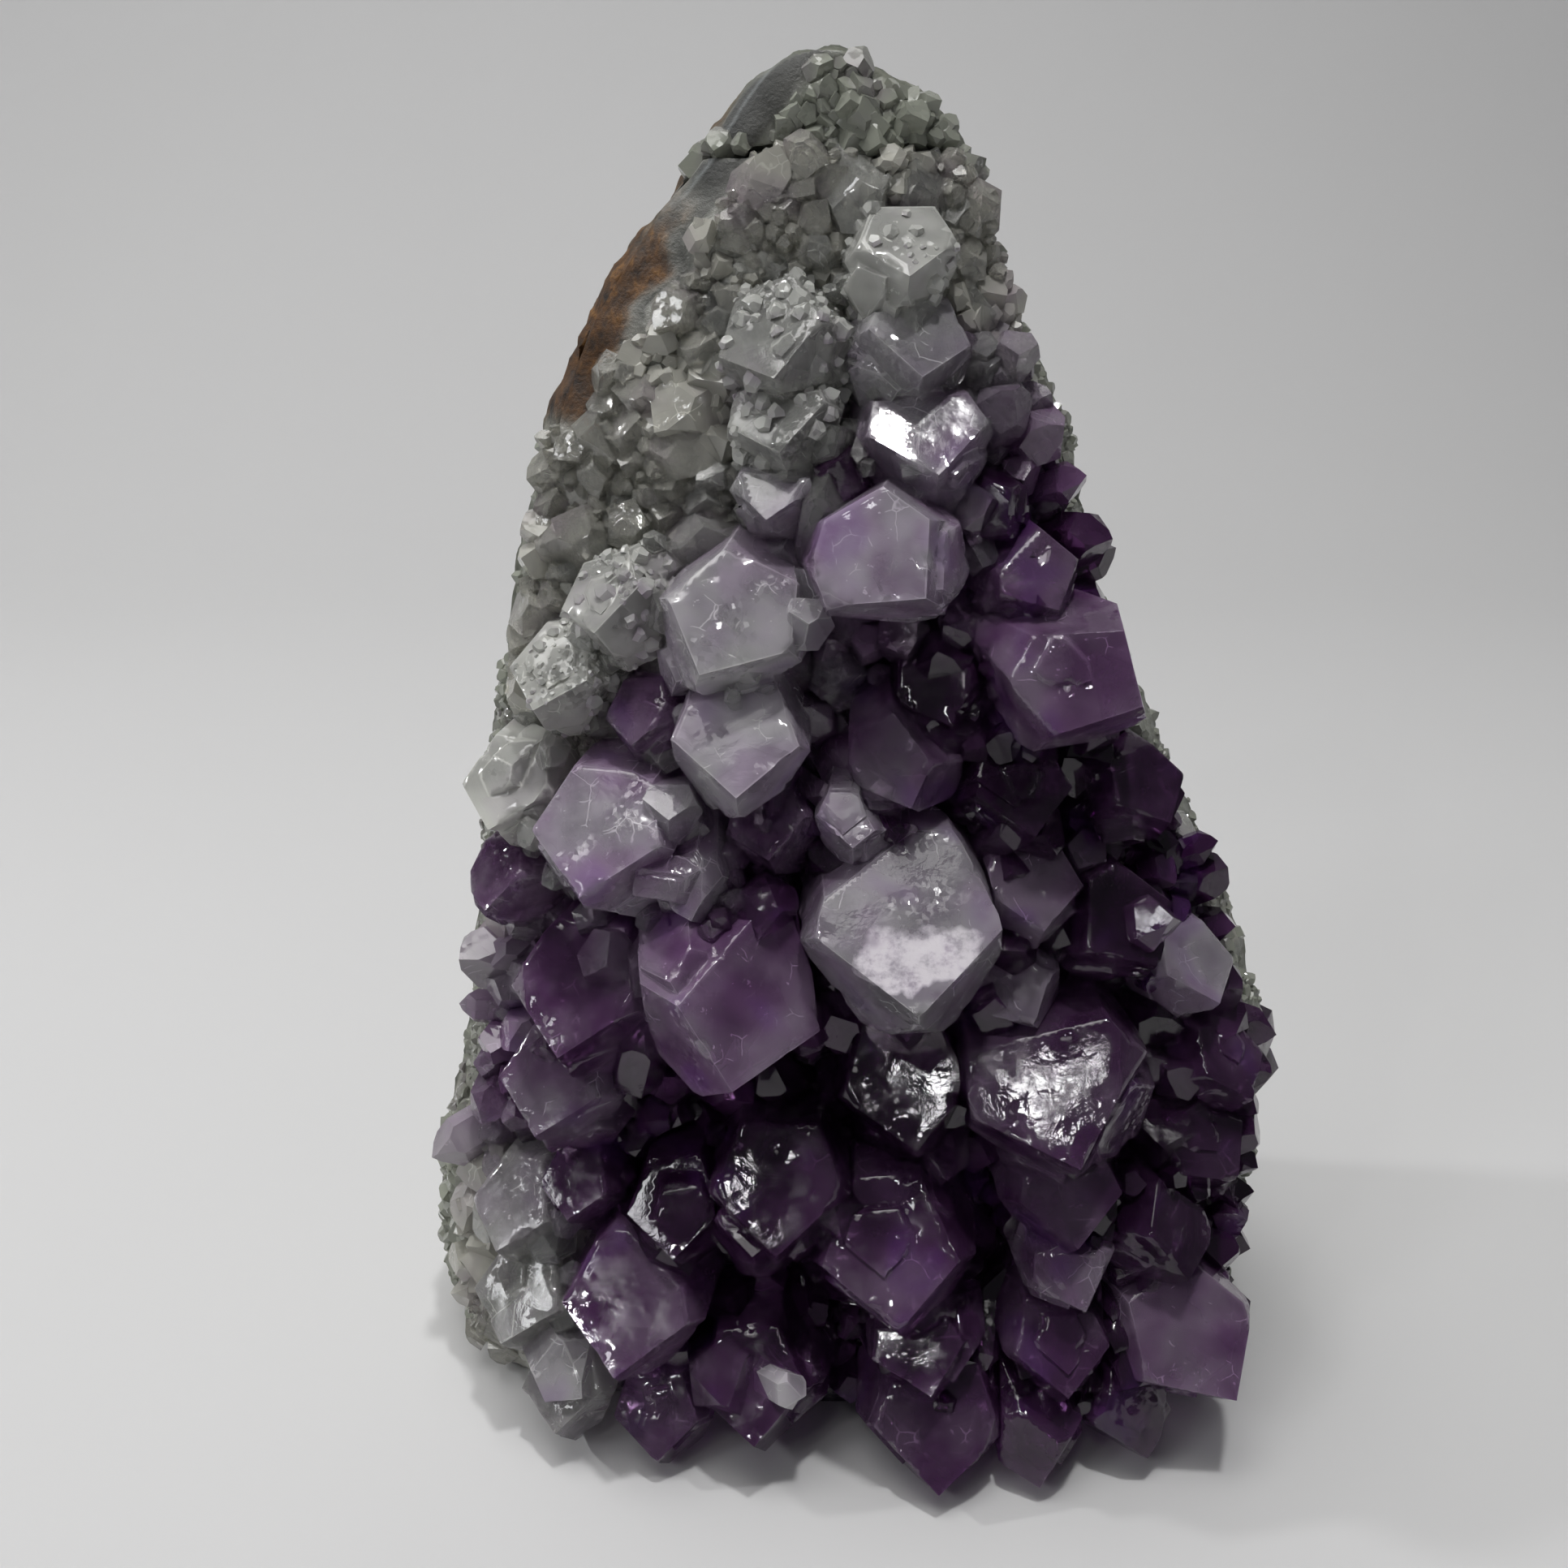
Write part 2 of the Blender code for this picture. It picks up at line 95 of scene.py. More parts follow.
# Colour of each crystal: how violet, how milky
TINTS = {
    "crown_quartz": (0.04, 0.80), "left_cap_quartz": (0.00, 0.45), "right_cap_quartz": (0.22, 0.60),
    "grey_step_quartz": (0.04, 0.55), "sparkle_point": (0.34, 0.55), "dark_dart": (0.90, 0.10),
    "lilac_step": (0.30, 0.55), "upper_dark_point": (0.95, 0.05), "lavender_head": (0.44, 0.75),
    "violet_cheek": (0.74, 0.35), "right_spur": (0.64, 0.55), "milk_lilac_head": (0.24, 0.80),
    "round_hexagon": (0.32, 0.85), "grey_wedge": (0.60, 0.35), "clear_ledge": (0.02, 0.80),
    "left_clear_lump": (0.00, 0.85), "inner_dark_point": (0.96, 0.20), "grey_lilac_blade": (0.62, 0.35),
    "violet_field": (0.92, 0.15), "brown_glint": (0.88, 0.15), "frosted_dome": (0.44, 0.70),
    "right_lilac_block": (0.66, 0.45), "dark_wedge": (0.92, 0.15), "edge_lilac": (0.40, 0.65),
    "pale_giant": (0.34, 0.62), "striped_column": (0.58, 0.50), "mirror_giant": (0.70, 0.30),
    "right_rounded": (0.84, 0.30), "right_dark_tooth": (0.95, 0.15), "white_shield": (0.02, 0.95),
    "frosted_giant": (0.42, 0.70), "fan_crystal": (0.46, 0.60), "violet_floor": (0.70, 0.40),
    "left_giant": (0.64, 0.65), "dark_pillow": (0.80, 0.45), "left_edge_violet": (0.66, 0.45),
    "left_lilac_block": (0.62, 0.45), "milk_lilac_chip": (0.20, 0.50), "beige_lump": (0.10, 0.50),
    "small_violet_tile": (0.74, 0.35), "smoke_block": (0.96, 0.30), "violet_crest": (0.90, 0.30),
    "lower_left_head": (0.72, 0.45), "sunken_violet": (0.98, 0.10), "lower_centre_head": (0.78, 0.45),
    "lilac_roof": (0.80, 0.40), "pink_block": (0.58, 0.55), "dark_beak": (0.90, 0.20),
    "right_foot_giant": (0.64, 0.60), "speckled_tile": (0.80, 0.40), "lower_right_tile": (0.80, 0.40),
    "foot_centre": (0.82, 0.40), "foot_point": (0.84, 0.35), "foot_corner": (0.92, 0.25),
    "foot_left": (0.78, 0.35), "foot_left_centre": (0.82, 0.35), "corner_milk": (0.16, 0.50),
}

slots = {entry["node"]: entry["material_slot"] for entry in frame["record"]["subparts"]}


# ---------------------------------------------------------------- small tools

def smooth_step(low, high, value):
    share = np.clip((value - low) / (high - low), 0.0, 1.0)
    return share * share * (3 - 2 * share)


def points_of(mesh):
    flat = np.empty(len(mesh.vertices) * 3)
    mesh.vertices.foreach_get("co", flat)
    return flat.reshape(-1, 3)


def set_points(mesh, points):
    mesh.vertices.foreach_set("co", points.ravel())
    mesh.update()


def normals_of(mesh):
    flat = np.empty(len(mesh.vertices) * 3)
    mesh.vertex_normals.foreach_get("vector", flat)
    return flat.reshape(-1, 3)


def store(mesh, name, values):
    """Keep one number for each vertex under a name that materials can read."""
    kept = mesh.attributes.get(name) or mesh.attributes.new(name, "FLOAT", "POINT")
    kept.data.foreach_set("value", np.asarray(values, np.float32))


def read(mesh, name):
    """Numbers kept on a mesh's vertices by store."""
    values = np.empty(len(mesh.vertices), np.float32)
    mesh.attributes[name].data.foreach_get("value", values)
    return values


def noise_at(points, scale, offset=0.0):
    """Smooth noise, about -1 to 1, with bumps of the given size."""
    shift = Vector((offset, offset * 0.7, -offset))
    return np.array([noise.noise(Vector(point) / scale + shift) for point in points])


def new_object(name, data):
    made = bpy.data.objects.new(name, data)
    bpy.context.scene.collection.objects.link(made)
    return made


def merged_copy(node):
    """Mesh of a CAD node with its loose triangles joined."""
    work = bmesh.new()
    work.from_mesh(frame["nodes"][node].data)
    bmesh.ops.remove_doubles(work, verts=work.verts, dist=0.001 * MM)
    return work


def finished_mesh(holder):
    """Mesh of an object with its modifiers applied."""
    graph = bpy.context.evaluated_depsgraph_get()
    made = bpy.data.meshes.new_from_object(holder.evaluated_get(graph))
    holder.modifiers.clear()
    return made


def joined_shape(meshes):
    """Points and faces of several meshes, as those of one."""
    points = np.concatenate([points_of(mesh) for mesh in meshes])
    faces, start = [], 0
    for mesh in meshes:
        faces += [[start + index for index in face.vertices] for face in mesh.polygons]
        start += len(mesh.vertices)
    return points, faces


def dress(mesh, material, crease=None):
    """Give a mesh its one material, and smooth shading up to a crease."""
    mesh.materials.clear()
    mesh.materials.append(material)
    mesh.shade_smooth()
    if crease:
        mesh.set_sharp_from_angle(angle=crease)


def show(piece, slot, *nodes):
    """Hide the CAD nodes that a finished piece stands for and attach it to the root body; slot is not
    used.
    """
    if nodes:
        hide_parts(*nodes)
    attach(piece, "root")


# ------------------------------------------------------------------ materials

class Nodes:
    """Short calls that add and link shader nodes."""

    def __init__(self, name):
        self.material = bpy.data.materials.new(name)
        self.material.use_nodes = True
        self.tree = self.material.node_tree
        self.shader = self.tree.nodes["Principled BSDF"]
        self.place = self.add("ShaderNodeTexCoord").outputs["Object"]

    def add(self, kind, **settings):
        node = self.tree.nodes.new(kind)
        for key, value in settings.items():
            setattr(node, key, value)
        return node

    def feed(self, socket, value):
        if isinstance(value, bpy.types.NodeSocket):
            self.tree.links.new(value, socket)
        else:
            socket.default_value = value

    def set(self, **values):
        """Set or link the shader's sockets; _ stands for a space."""
        for key, value in values.items():
            self.feed(self.shader.inputs[key.replace("_", " ")], value)

    def attribute(self, name):
        return self.add("ShaderNodeAttribute", attribute_name=name).outputs["Fac"]

    def noise(self, size, detail=3.0, roughness=0.5, distortion=0.0):
        """Noise whose blotches are about size metres."""
        node = self.add("ShaderNodeTexNoise")
        self.feed(node.inputs["Vector"], self.place)
        node.inputs["Scale"].default_value = 0.5 / size
        node.inputs["Detail"].default_value = detail
        node.inputs["Roughness"].default_value = roughness
        node.inputs["Distortion"].default_value = distortion
        return node.outputs["Fac"]

    def cells(self, size, feature="F1", output="Distance", place=None):
        """Cells about size metres across."""
        node = self.add("ShaderNodeTexVoronoi", feature=feature)
        self.feed(node.inputs["Vector"], place or self.place)
        node.inputs["Scale"].default_value = 1.0 / size
        return node.outputs[output]

    def math(self, operation, first, second):
        node = self.add("ShaderNodeMath", operation=operation)
        for socket, value in zip(node.inputs, (first, second)):
            self.feed(socket, value)
        return node.outputs[0]

    def span(self, value, low, high, to_low=0.0, to_high=1.0):
        """Read a value between low and high as to_low to to_high, smoothly."""
        node = self.add("ShaderNodeMapRange", interpolation_type="SMOOTHSTEP")
        for key, given in zip(("Value", "From Min", "From Max", "To Min", "To Max"),
                              (value, low, high, to_low, to_high)):
            self.feed(node.inputs[key], given)
        return node.outputs["Result"]

    def mix(self, share, first, second, blend="MIX"):
        node = self.add("ShaderNodeMix", data_type="RGBA", blend_type=blend)
        node.clamp_factor = True
        self.feed(node.inputs[0], share)
        self.feed(node.inputs[6], first)
        self.feed(node.inputs[7], second)
        return node.outputs[2]

    def ramp(self, value, *stops):
        node = self.add("ShaderNodeValToRGB")
        self.feed(node.inputs["Fac"], value)
        elements = node.color_ramp.elements
        while len(elements) < len(stops):
            elements.new(0.5)
        for element, (position, colour) in zip(elements, stops):
            element.position = position
            element.color = colour
        return node.outputs["Color"]

    def vector(self, operation, first, second=None, scale=None):
        node = self.add("ShaderNodeVectorMath", operation=operation)
        self.feed(node.inputs[0], first)
        if second is not None:
            self.feed(node.inputs[1], second)
        if scale is not None:
            self.feed(node.inputs["Scale"], scale)
        return node.outputs[0]

    def bump(self, height, distance, strength=1.0):
        node = self.add("ShaderNodeBump")
        self.feed(node.inputs["Height"], height)
        node.inputs["Distance"].default_value = distance
        node.inputs["Strength"].default_value = strength
        return node.outputs["Normal"]

    def wavy(self, size, amount):
        """Object coordinates bent by noise, for lines that are not straight."""
        node = self.add("ShaderNodeTexNoise")
        self.feed(node.inputs["Vector"], self.place)
        node.inputs["Scale"].default_value = 0.5 / size
        bend = self.vector("SUBTRACT", node.outputs["Color"], (0.5, 0.5, 0.5))
        return self.vector("ADD", self.place, self.vector("SCALE", bend, scale=amount))

    def glitter(self, size, tilt):
        """Normal of a face made of tiny flat facets, each at its own tilt."""
        cell = self.cells(size, output="Color")
        lean = self.vector("SCALE", self.vector("SUBTRACT", cell, (0.5, 0.5, 0.5)), scale=tilt)
        normal = self.add("ShaderNodeNewGeometry").outputs["Normal"]
        return self.vector("NORMALIZE", self.vector("ADD", normal, lean))


def rgb(red, green, blue):
    return (red, green, blue, 1.0)


def crystal_material(name, sparkle, clarity, tone, dullest=0.20):
    """Quartz and amethyst: violet, milk, edge and tipward are kept on the mesh."""
    m = Nodes(name)
    violet, milk = m.attribute("violet"), m.attribute("milk")
    edge, tipward = m.attribute("edge"), m.attribute("tipward")
    cloud = m.noise(3.6 * MM, 3.0, 0.5)
    depth = m.math("ADD", violet, m.span(cloud, 0.34, 0.66, 0.16, -0.16))
    depth = m.math("SUBTRACT", depth, m.span(tipward, 0.0, 1.0, -0.16, 0.10))
    glass = m.ramp(
        depth,
        (0.00, rgb(0.86, 0.87, 0.86)),
        (0.25, rgb(0.72, 0.66, 0.76)),
        (0.50, rgb(0.52, 0.35, 0.56)),
        (0.75, rgb(0.28, 0.11, 0.32)),
        (1.00, rgb(0.100, 0.026, 0.120)),
    )
    core = m.math("MULTIPLY", m.span(m.noise(3.0 * MM, 1.0), 0.58, 0.74), m.span(violet, 0.1, 0.4))
    glass = m.mix(m.math("MULTIPLY", core, 0.55), glass, rgb(0.30, 0.08, 0.50))
    mist = m.math("MULTIPLY", m.span(m.noise(3.0 * MM, 2.0, 0.5), 0.30, 0.70, 0.42, 0.66), milk)
    crack = m.cells(2.6 * MM, "DISTANCE_TO_EDGE", place=m.wavy(0.9 * MM, 0.8 * MM))
    cracked = m.span(m.noise(1.8 * MM), 0.50, 0.62)
    crack = m.math("MULTIPLY", m.span(crack, 0.0, 0.05, 1.0, 0.0), cracked)
    fleck = m.span(m.noise(0.55 * MM, 3.0, 0.7), 0.63, 0.72)
    showing = m.math("ADD", m.math("MULTIPLY", milk, 0.6), 0.2)
    flaws = m.math("MULTIPLY", m.math("MAXIMUM", crack, fleck), showing)
    haze = m.math("MAXIMUM", mist, flaws)
    # edge clouds the colour near sharp edges: partly worn chips, partly a painted edge highlight
    haze = m.math("MAXIMUM", haze, m.math("MULTIPLY", edge, m.math("MULTIPLY", milk, 0.7)))
    shade = m.math("ADD", violet, m.span(cloud, 0.35, 0.65, 0.08, -0.08))
    # flaws and edges lighten the milky tint: the flaws are real, the edge part is partly worn chips and
    # partly a painted edge highlight
    shade = m.math("SUBTRACT", shade, m.math("MULTIPLY", m.math("MAXIMUM", edge, flaws), 0.14))
    milk_tint = m.ramp(
        shade,
        (0.00, rgb(0.70, 0.70, 0.66)),
        (0.36, rgb(0.58, 0.51, 0.61)),
        (0.60, rgb(0.33, 0.205, 0.36)),
        (0.80, rgb(0.155, 0.072, 0.170)),
        (1.00, rgb(0.058, 0.020, 0.066)),
    )
    thickness = m.span(m.noise(1.1 * MM, 4.0, 0.7), 0.3, 0.6, 0.5, 1.0)
    veil = m.math("MULTIPLY", m.attribute("veil"), thickness)
    haze = m.math("MAXIMUM", haze, veil)
    milk_tint = m.mix(veil, milk_tint, rgb(0.78, 0.74, 0.78))
    hillocks = m.cells(1.5 * MM, "SMOOTH_F1")
    terraces = m.math("SNAP", m.noise(3.0 * MM, 2.0, 0.5, distortion=0.8), 0.07)
    grain = m.noise(0.45 * MM, 3.0, 0.6)
    surface = m.math("ADD", m.math("MULTIPLY", hillocks, 0.25), m.math("MULTIPLY", terraces, 1.8))
    surface = m.math("ADD", surface, m.math("MULTIPLY", grain, 0.25))
    frost = m.math("MULTIPLY", m.span(m.noise(2.8 * MM, 3.0), 0.46, 0.60), m.attribute("frost"))
    normal = m.add("ShaderNodeMix", data_type="VECTOR")
    m.feed(normal.inputs[0], m.math("MULTIPLY", frost, sparkle))
    m.feed(normal.inputs[4], m.bump(surface, 0.07 * MM, 0.9))
    m.feed(normal.inputs[5], m.glitter(0.5 * MM, 0.9))
    m.set(
        Base_Color=m.mix(1.0, m.mix(haze, glass, milk_tint), tone, "MULTIPLY"),
        Roughness=m.span(m.noise(1.6 * MM, 4.0, 0.6), 0.38, 0.68, 0.04, dullest),
        IOR=1.544,
        Normal=m.vector("NORMALIZE", normal.outputs[1]),
        Transmission_Weight=m.span(haze, 0.0, 1.0, clarity, 0.2 * clarity),
    )
    return m.material


def stone_material(name):
    """Rind and quartz bed: zones are kept on the mesh, grain is worked out here."""
    m = Nodes(name)
    coarse = m.noise(9 * MM, 5.0, 0.6)
    fine = m.noise(1.1 * MM, 5.0, 0.7)
    pits = m.cells(2.2 * MM, "SMOOTH_F1")
    skin = m.ramp(
        m.math("ADD", m.math("MULTIPLY", coarse, 0.65), m.math("MULTIPLY", fine, 0.35)),
        (0.36, rgb(0.040, 0.042, 0.034)),
        (0.47, rgb(0.085, 0.092, 0.070)),
        (0.56, rgb(0.150, 0.155, 0.120)),
        (0.66, rgb(0.120, 0.092, 0.060)),
    )
    specks = m.span(m.cells(1.5 * MM), 0.12, 0.26, 1.0, 0.0)
    specks = m.math("MULTIPLY", specks, m.span(m.noise(5 * MM), 0.45, 0.6))
    skin = m.mix(m.math("MULTIPLY", specks, 0.6), skin, rgb(0.36, 0.37, 0.33))
    druse = m.ramp(
        m.math("ADD", m.math("MULTIPLY", fine, 0.6), m.math("MULTIPLY", coarse, 0.4)),
        (0.36, rgb(0.095, 0.10, 0.085)),
        (0.50, rgb(0.26, 0.27, 0.235)),
        (0.64, rgb(0.46, 0.46, 0.42)),
    )
    tint = m.mix(m.attribute("druse"), skin, druse)
    chalk = m.mix(fine, rgb(0.24, 0.22, 0.18), rgb(0.46, 0.44, 0.38))
    tint = m.mix(m.attribute("chalk"), tint, chalk)
    depth = m.math("ADD", m.attribute("violet"), m.span(coarse, 0.3, 0.7, 0.1, -0.1))
    quartz = m.ramp(
        depth,
        (0.0, rgb(0.50, 0.50, 0.46)),
        (0.3, rgb(0.26, 0.22, 0.26)),
        (0.6, rgb(0.07, 0.045, 0.09)),
        (1.0, rgb(0.022, 0.010, 0.036)),
    )
    quartz = m.mix(m.span(fine, 0.4, 0.6), quartz, m.mix(0.5, quartz, tint))
    tint = m.mix(m.attribute("quartz"), tint, quartz)
    rust = m.ramp(
        m.math("ADD", m.math("MULTIPLY", coarse, 0.4), m.math("MULTIPLY", fine, 0.6)),
        (0.40, rgb(0.012, 0.006, 0.003)),
        (0.51, rgb(0.070, 0.028, 0.004)),
        (0.66, rgb(0.25, 0.115, 0.022)),
    )
    tint = m.mix(m.attribute("rust"), tint, rust)
    wobble = m.math("MULTIPLY", m.noise(5 * MM, 3.0), 2.4)
    banding = m.ramp(
        m.math("DIVIDE", m.math("ADD", m.attribute("inward"), wobble), 10.0),
        (0.10, rgb(0.022, 0.022, 0.020)),
        (0.35, rgb(0.050, 0.050, 0.046)),
        (0.42, rgb(0.036, 0.037, 0.036)),
        (0.47, rgb(0.055, 0.056, 0.054)),
        (0.50, rgb(0.14, 0.15, 0.15)),
        (0.53, rgb(0.045, 0.046, 0.044)),
        (0.80, rgb(0.075, 0.075, 0.068)),
    )
    tint = m.mix(m.attribute("agate"), tint, banding)
    sawn_grain = m.ramp(
        m.noise(0.9 * MM, 6.0, 0.7),
        (0.40, rgb(0.070, 0.074, 0.062)),
        (0.56, rgb(0.145, 0.150, 0.125)),
        (0.70, rgb(0.30, 0.30, 0.26)),
    )
    tint = m.mix(m.attribute("sawn"), tint, sawn_grain)
    relief = m.math("ADD", m.math("MULTIPLY", fine, 1.0), m.math("MULTIPLY", pits, 0.6))
    relief = m.math("MULTIPLY", relief, m.span(m.attribute("sawn"), 0.0, 1.0, 1.0, 0.06))
    gloss = m.math("MAXIMUM", m.attribute("druse"), m.attribute("quartz"))
    banded_or_rusty = m.math("MAXIMUM", m.attribute("agate"), m.attribute("rust"))
    gloss = m.math("SUBTRACT", gloss, m.math("MULTIPLY", banded_or_rusty, 0.55))
    m.set(
        Base_Color=tint,
        Roughness=m.span(gloss, 0.0, 1.0, 0.85, 0.30),
        IOR=1.5,
        Normal=m.bump(relief, 0.5 * MM, 0.9),
    )
    return m.material


def paper_material(name, colour):
    m = Nodes(name)
    fibre = m.noise(0.6 * MM, 4.0, 0.6)
    tone = m.noise(60 * MM, 2.0)
    darker = tuple(0.97 * part for part in colour[:3]) + (1.0,)
    m.set(
        Base_Color=m.mix(tone, darker, colour),
        Roughness=0.75,
        Normal=m.bump(fibre, 0.02 * MM, 0.3),
    )
    return m.material


# ---------------------------------------------------------- the large crystals

def hewn(planes, middle, reach):
    """Convex solid inside planes, each a point and an outward normal."""
    work = bmesh.new()
    bmesh.ops.create_cube(work, size=2 * reach, matrix=Matrix.Translation(middle))
    for point, normal in planes:
        everything = work.verts[:] + work.edges[:] + work.faces[:]
        cut = bmesh.ops.bisect_plane(
            work, geom=everything, dist=1e-7, plane_co=point, plane_no=normal, clear_outer=True)
        rim = [part for part in cut["geom_cut"] if isinstance(part, bmesh.types.BMEdge)]
        if len(rim) > 2:
            bmesh.ops.contextual_create(work, geom=rim)
    bmesh.ops.recalc_face_normals(work, faces=work.faces)
    return work


def crystal_axes(faces):
    """Long axis of a crystal and the direction of its largest point face.

    Prism faces stand square to the axis and point faces at the quartz angle,
    so the axis is the direction that the most face area agrees with.
    """
    sides = [(face.normal.copy(), face.calc_area()) for face in faces]
    sides = sorted(sides, key=lambda side: -side[1])[:16]
    slope = math.cos(RHOMB)
    trials = [a.cross(b) for a, _ in sides for b, _ in sides if a is not b]
    for (a, _), (b, _), (c, _) in itertools.combinations(sides, 3):
        rows = Matrix((a, b, c))
        if abs(rows.determinant()) > 0.05:
            trials.append(rows.inverted() @ Vector((slope, slope, slope)))
    best, best_score = None, -1.0
    for axis in trials:
        if axis.length < 0.1 or axis.y > 0:
            continue
        axis = axis.normalized()
        lifts = [(abs(normal.dot(axis)), normal.dot(axis), area) for normal, area in sides]
        prism = sum(area for size, _, area in lifts if size < 0.006)
        point = sum(area for _, lift, area in lifts if abs(lift - slope) < 0.006)
        if prism * point and prism + point > best_score:
            best, best_score = axis, prism + point
    slopes = [side for side in sides if abs(side[0].dot(best) - slope) < 0.006]
    largest = max(slopes, key=lambda side: side[1])[0]
    over = (largest - best * largest.dot(best)).normalized()
    return best, over


def point_planes(tip, axis, over, radius, draw, length):
    """Faces of a small crystal with the given tip and directions."""
    side = axis.cross(over)
    planes = [(tip - axis * length, -axis)]
    for face in range(6):
        turn = face * math.pi / 3
        out = over * math.cos(turn) + side * math.sin(turn)
        slope = axis * math.cos(RHOMB) + out * math.sin(RHOMB)
        shift = radius * (draw.uniform(-0.06, 0.06) if face % 2 == 0 else draw.uniform(0.1, 0.45))
        base = tip - axis * radius * math.tan(RHOMB)
        planes.append((base + out * radius * draw.uniform(0.9, 1.1), out))
        planes.append((tip + slope * shift, slope))
    return planes


def lone_crystal(tip, axis, over, radius, draw, length):
    planes = point_planes(tip, axis, over, radius, draw, length)
    return hewn(planes, tip - axis * length / 2, length + 2 * radius)


def measure(points, axis):
    """Tip of a crystal and the usual distance of its sides from its axis."""
    along = np.array(axis)
    heights = points @ along
    high = points[heights > heights.max() - 0.08 * np.ptp(heights)]
    tip = high.mean(axis=0)
    tip = tip + along * (heights.max() - tip @ along)
    spread = np.linalg.norm(np.cross(points - tip, along), axis=1)
    return Vector(tip), float(np.percentile(spread, 62))


def grown_blocks(points, axis, over, draw, twins, chance):
    """Blocks that grew in step with a crystal and chance ones on its sides."""
    tip, radius = measure(points, axis)
    side = axis.cross(over)
    steep = math.tan(RHOMB)
    blocks = []
    for _ in range(twins):
        turn = draw.uniform(0, 2 * math.pi)
        out = over * math.cos(turn) + side * math.sin(turn)
        size = radius * draw.uniform(0.32, 0.62)
        offset = (radius - size) * draw.uniform(0.6, 1.06)
        drop = offset * steep - size * draw.uniform(0.08, 0.32)
        lean = Matrix.Rotation(math.radians(draw.gauss(0, 2.5 if twins < 3 else 9.0)), 3, out)
        place = tip + out * offset - axis * drop
        blocks.append(lone_crystal(place, lean @ axis, lean @ over, size, draw, radius * 1.6))
    for _ in range(chance):
        turn = draw.uniform(0, 2 * math.pi)
        out = over * math.cos(turn) + side * math.sin(turn)
        size = draw.uniform(0.5, 1.1) * MM + radius * draw.uniform(0.02, 0.10)
        place = tip + out * radius * draw.uniform(0.72, 0.90)
        place -= axis * (radius * steep * draw.uniform(1.05, 2.1))
        tilt = Matrix.Rotation(draw.uniform(0.35, 1.1), 3, axis.cross(out))
        grow_along = tilt @ axis
        place += grow_along * size * draw.uniform(0.6, 1.3)
        spun = tilt @ (over * math.cos(turn * 5) + side * math.sin(turn * 5))
        blocks.append(lone_crystal(place, grow_along, spun, size, draw, size * 3.5))
    return blocks


def union(work, blocks, name):
    """Join convex solids into one mesh with a Boolean union."""
    mesh = bpy.data.meshes.new(name)
    work.to_mesh(mesh)
    holder = new_object(name, mesh)
    helpers = bpy.data.collections.new(name)
    for place, block in enumerate(blocks):
        part = bpy.data.meshes.new(f"{name}_{place}")
        block.to_mesh(part)
        block.free()
        helpers.objects.link(bpy.data.objects.new(f"{name}_{place}", part))
    bpy.context.scene.collection.children.link(helpers)
    join = holder.modifiers.new("join", "BOOLEAN")
    join.operation = "UNION"
    join.operand_type = "COLLECTION"
    join.collection = helpers
    join.solver = "EXACT"
    made = finished_mesh(holder)
    for helper in list(helpers.objects):
        bpy.data.objects.remove(helper)
    bpy.data.collections.remove(helpers)
    bpy.data.objects.remove(holder)
    return made


def refine(work, longest):
    """Split edges until none is longer than asked, keeping triangles."""
    bmesh.ops.triangulate(work, faces=work.faces)
    for _ in range(6):
        long_edges = [edge for edge in work.edges if edge.calc_length() > longest]
        if not long_edges:
            break
        bmesh.ops.subdivide_edges(work, edges=long_edges, cuts=1)
        bmesh.ops.triangulate(work, faces=[face for face in work.faces if len(face.verts) > 3])


def weather(mesh, axis, tint, seed, longest=0.8 * MM):
    """Wear the edges, swell the faces a little, keep colour zones."""
    work = bmesh.new()
    work.from_mesh(mesh)
    bmesh.ops.remove_doubles(work, verts=work.verts, dist=0.01 * MM)
    bmesh.ops.dissolve_limit(
        work, angle_limit=math.radians(0.5), verts=work.verts, edges=work.edges)
    refine(work, longest)
    work.normal_update()
    bent = [edge for edge in work.edges if edge.is_manifold and edge.calc_face_angle() > 0.2]
    sharp = {vertex.index for edge in bent for vertex in edge.verts}
    work.to_mesh(mesh)
    work.free()
    points, normals = points_of(mesh), normals_of(mesh)
    tree = KDTree(len(sharp))
    for index in sorted(sharp):
        tree.insert(points[index], index)
    tree.balance()
    gap = np.array([tree.find(point)[2] for point in points])
    edge = np.exp(-gap / (0.30 * MM))
    heights = points @ np.array(axis)
    top, bottom = heights.max(), heights.min()
    chips = smooth_step(0.30, 0.55, noise_at(points, 2.0 * MM, seed)) * np.exp(-gap / (0.5 * MM))
    swell = noise_at(points, 4.5 * MM, seed + 3.0)
    push = -0.03 * edge - 0.40 * chips + 0.05 * swell
    moved = points + normals * (push * MM)[:, None]
    moved[:, 2] = np.maximum(moved[:, 2], GROUND_GAP)
    set_points(mesh, moved)
    violet, milk = tint
    store(mesh, "violet", np.full(len(points), violet))
    store(mesh, "milk", np.full(len(points), milk))
    # edge: nearness to sharp edges plus chips, which the material lightens as worn chips and as a painted
    # edge highlight
    store(mesh, "edge", np.clip(edge + chips, 0, 1))
    store(mesh, "tipward", (heights - bottom) / (top - bottom))
    return points


def frost_of(points, seed, amount):
    """Patches of fine druse on the upper faces."""
    patch = noise_at(points, 6.0 * MM, seed + 9.0)
    return np.clip(smooth_step(-0.15, 0.25, patch) * amount, 0, 1)


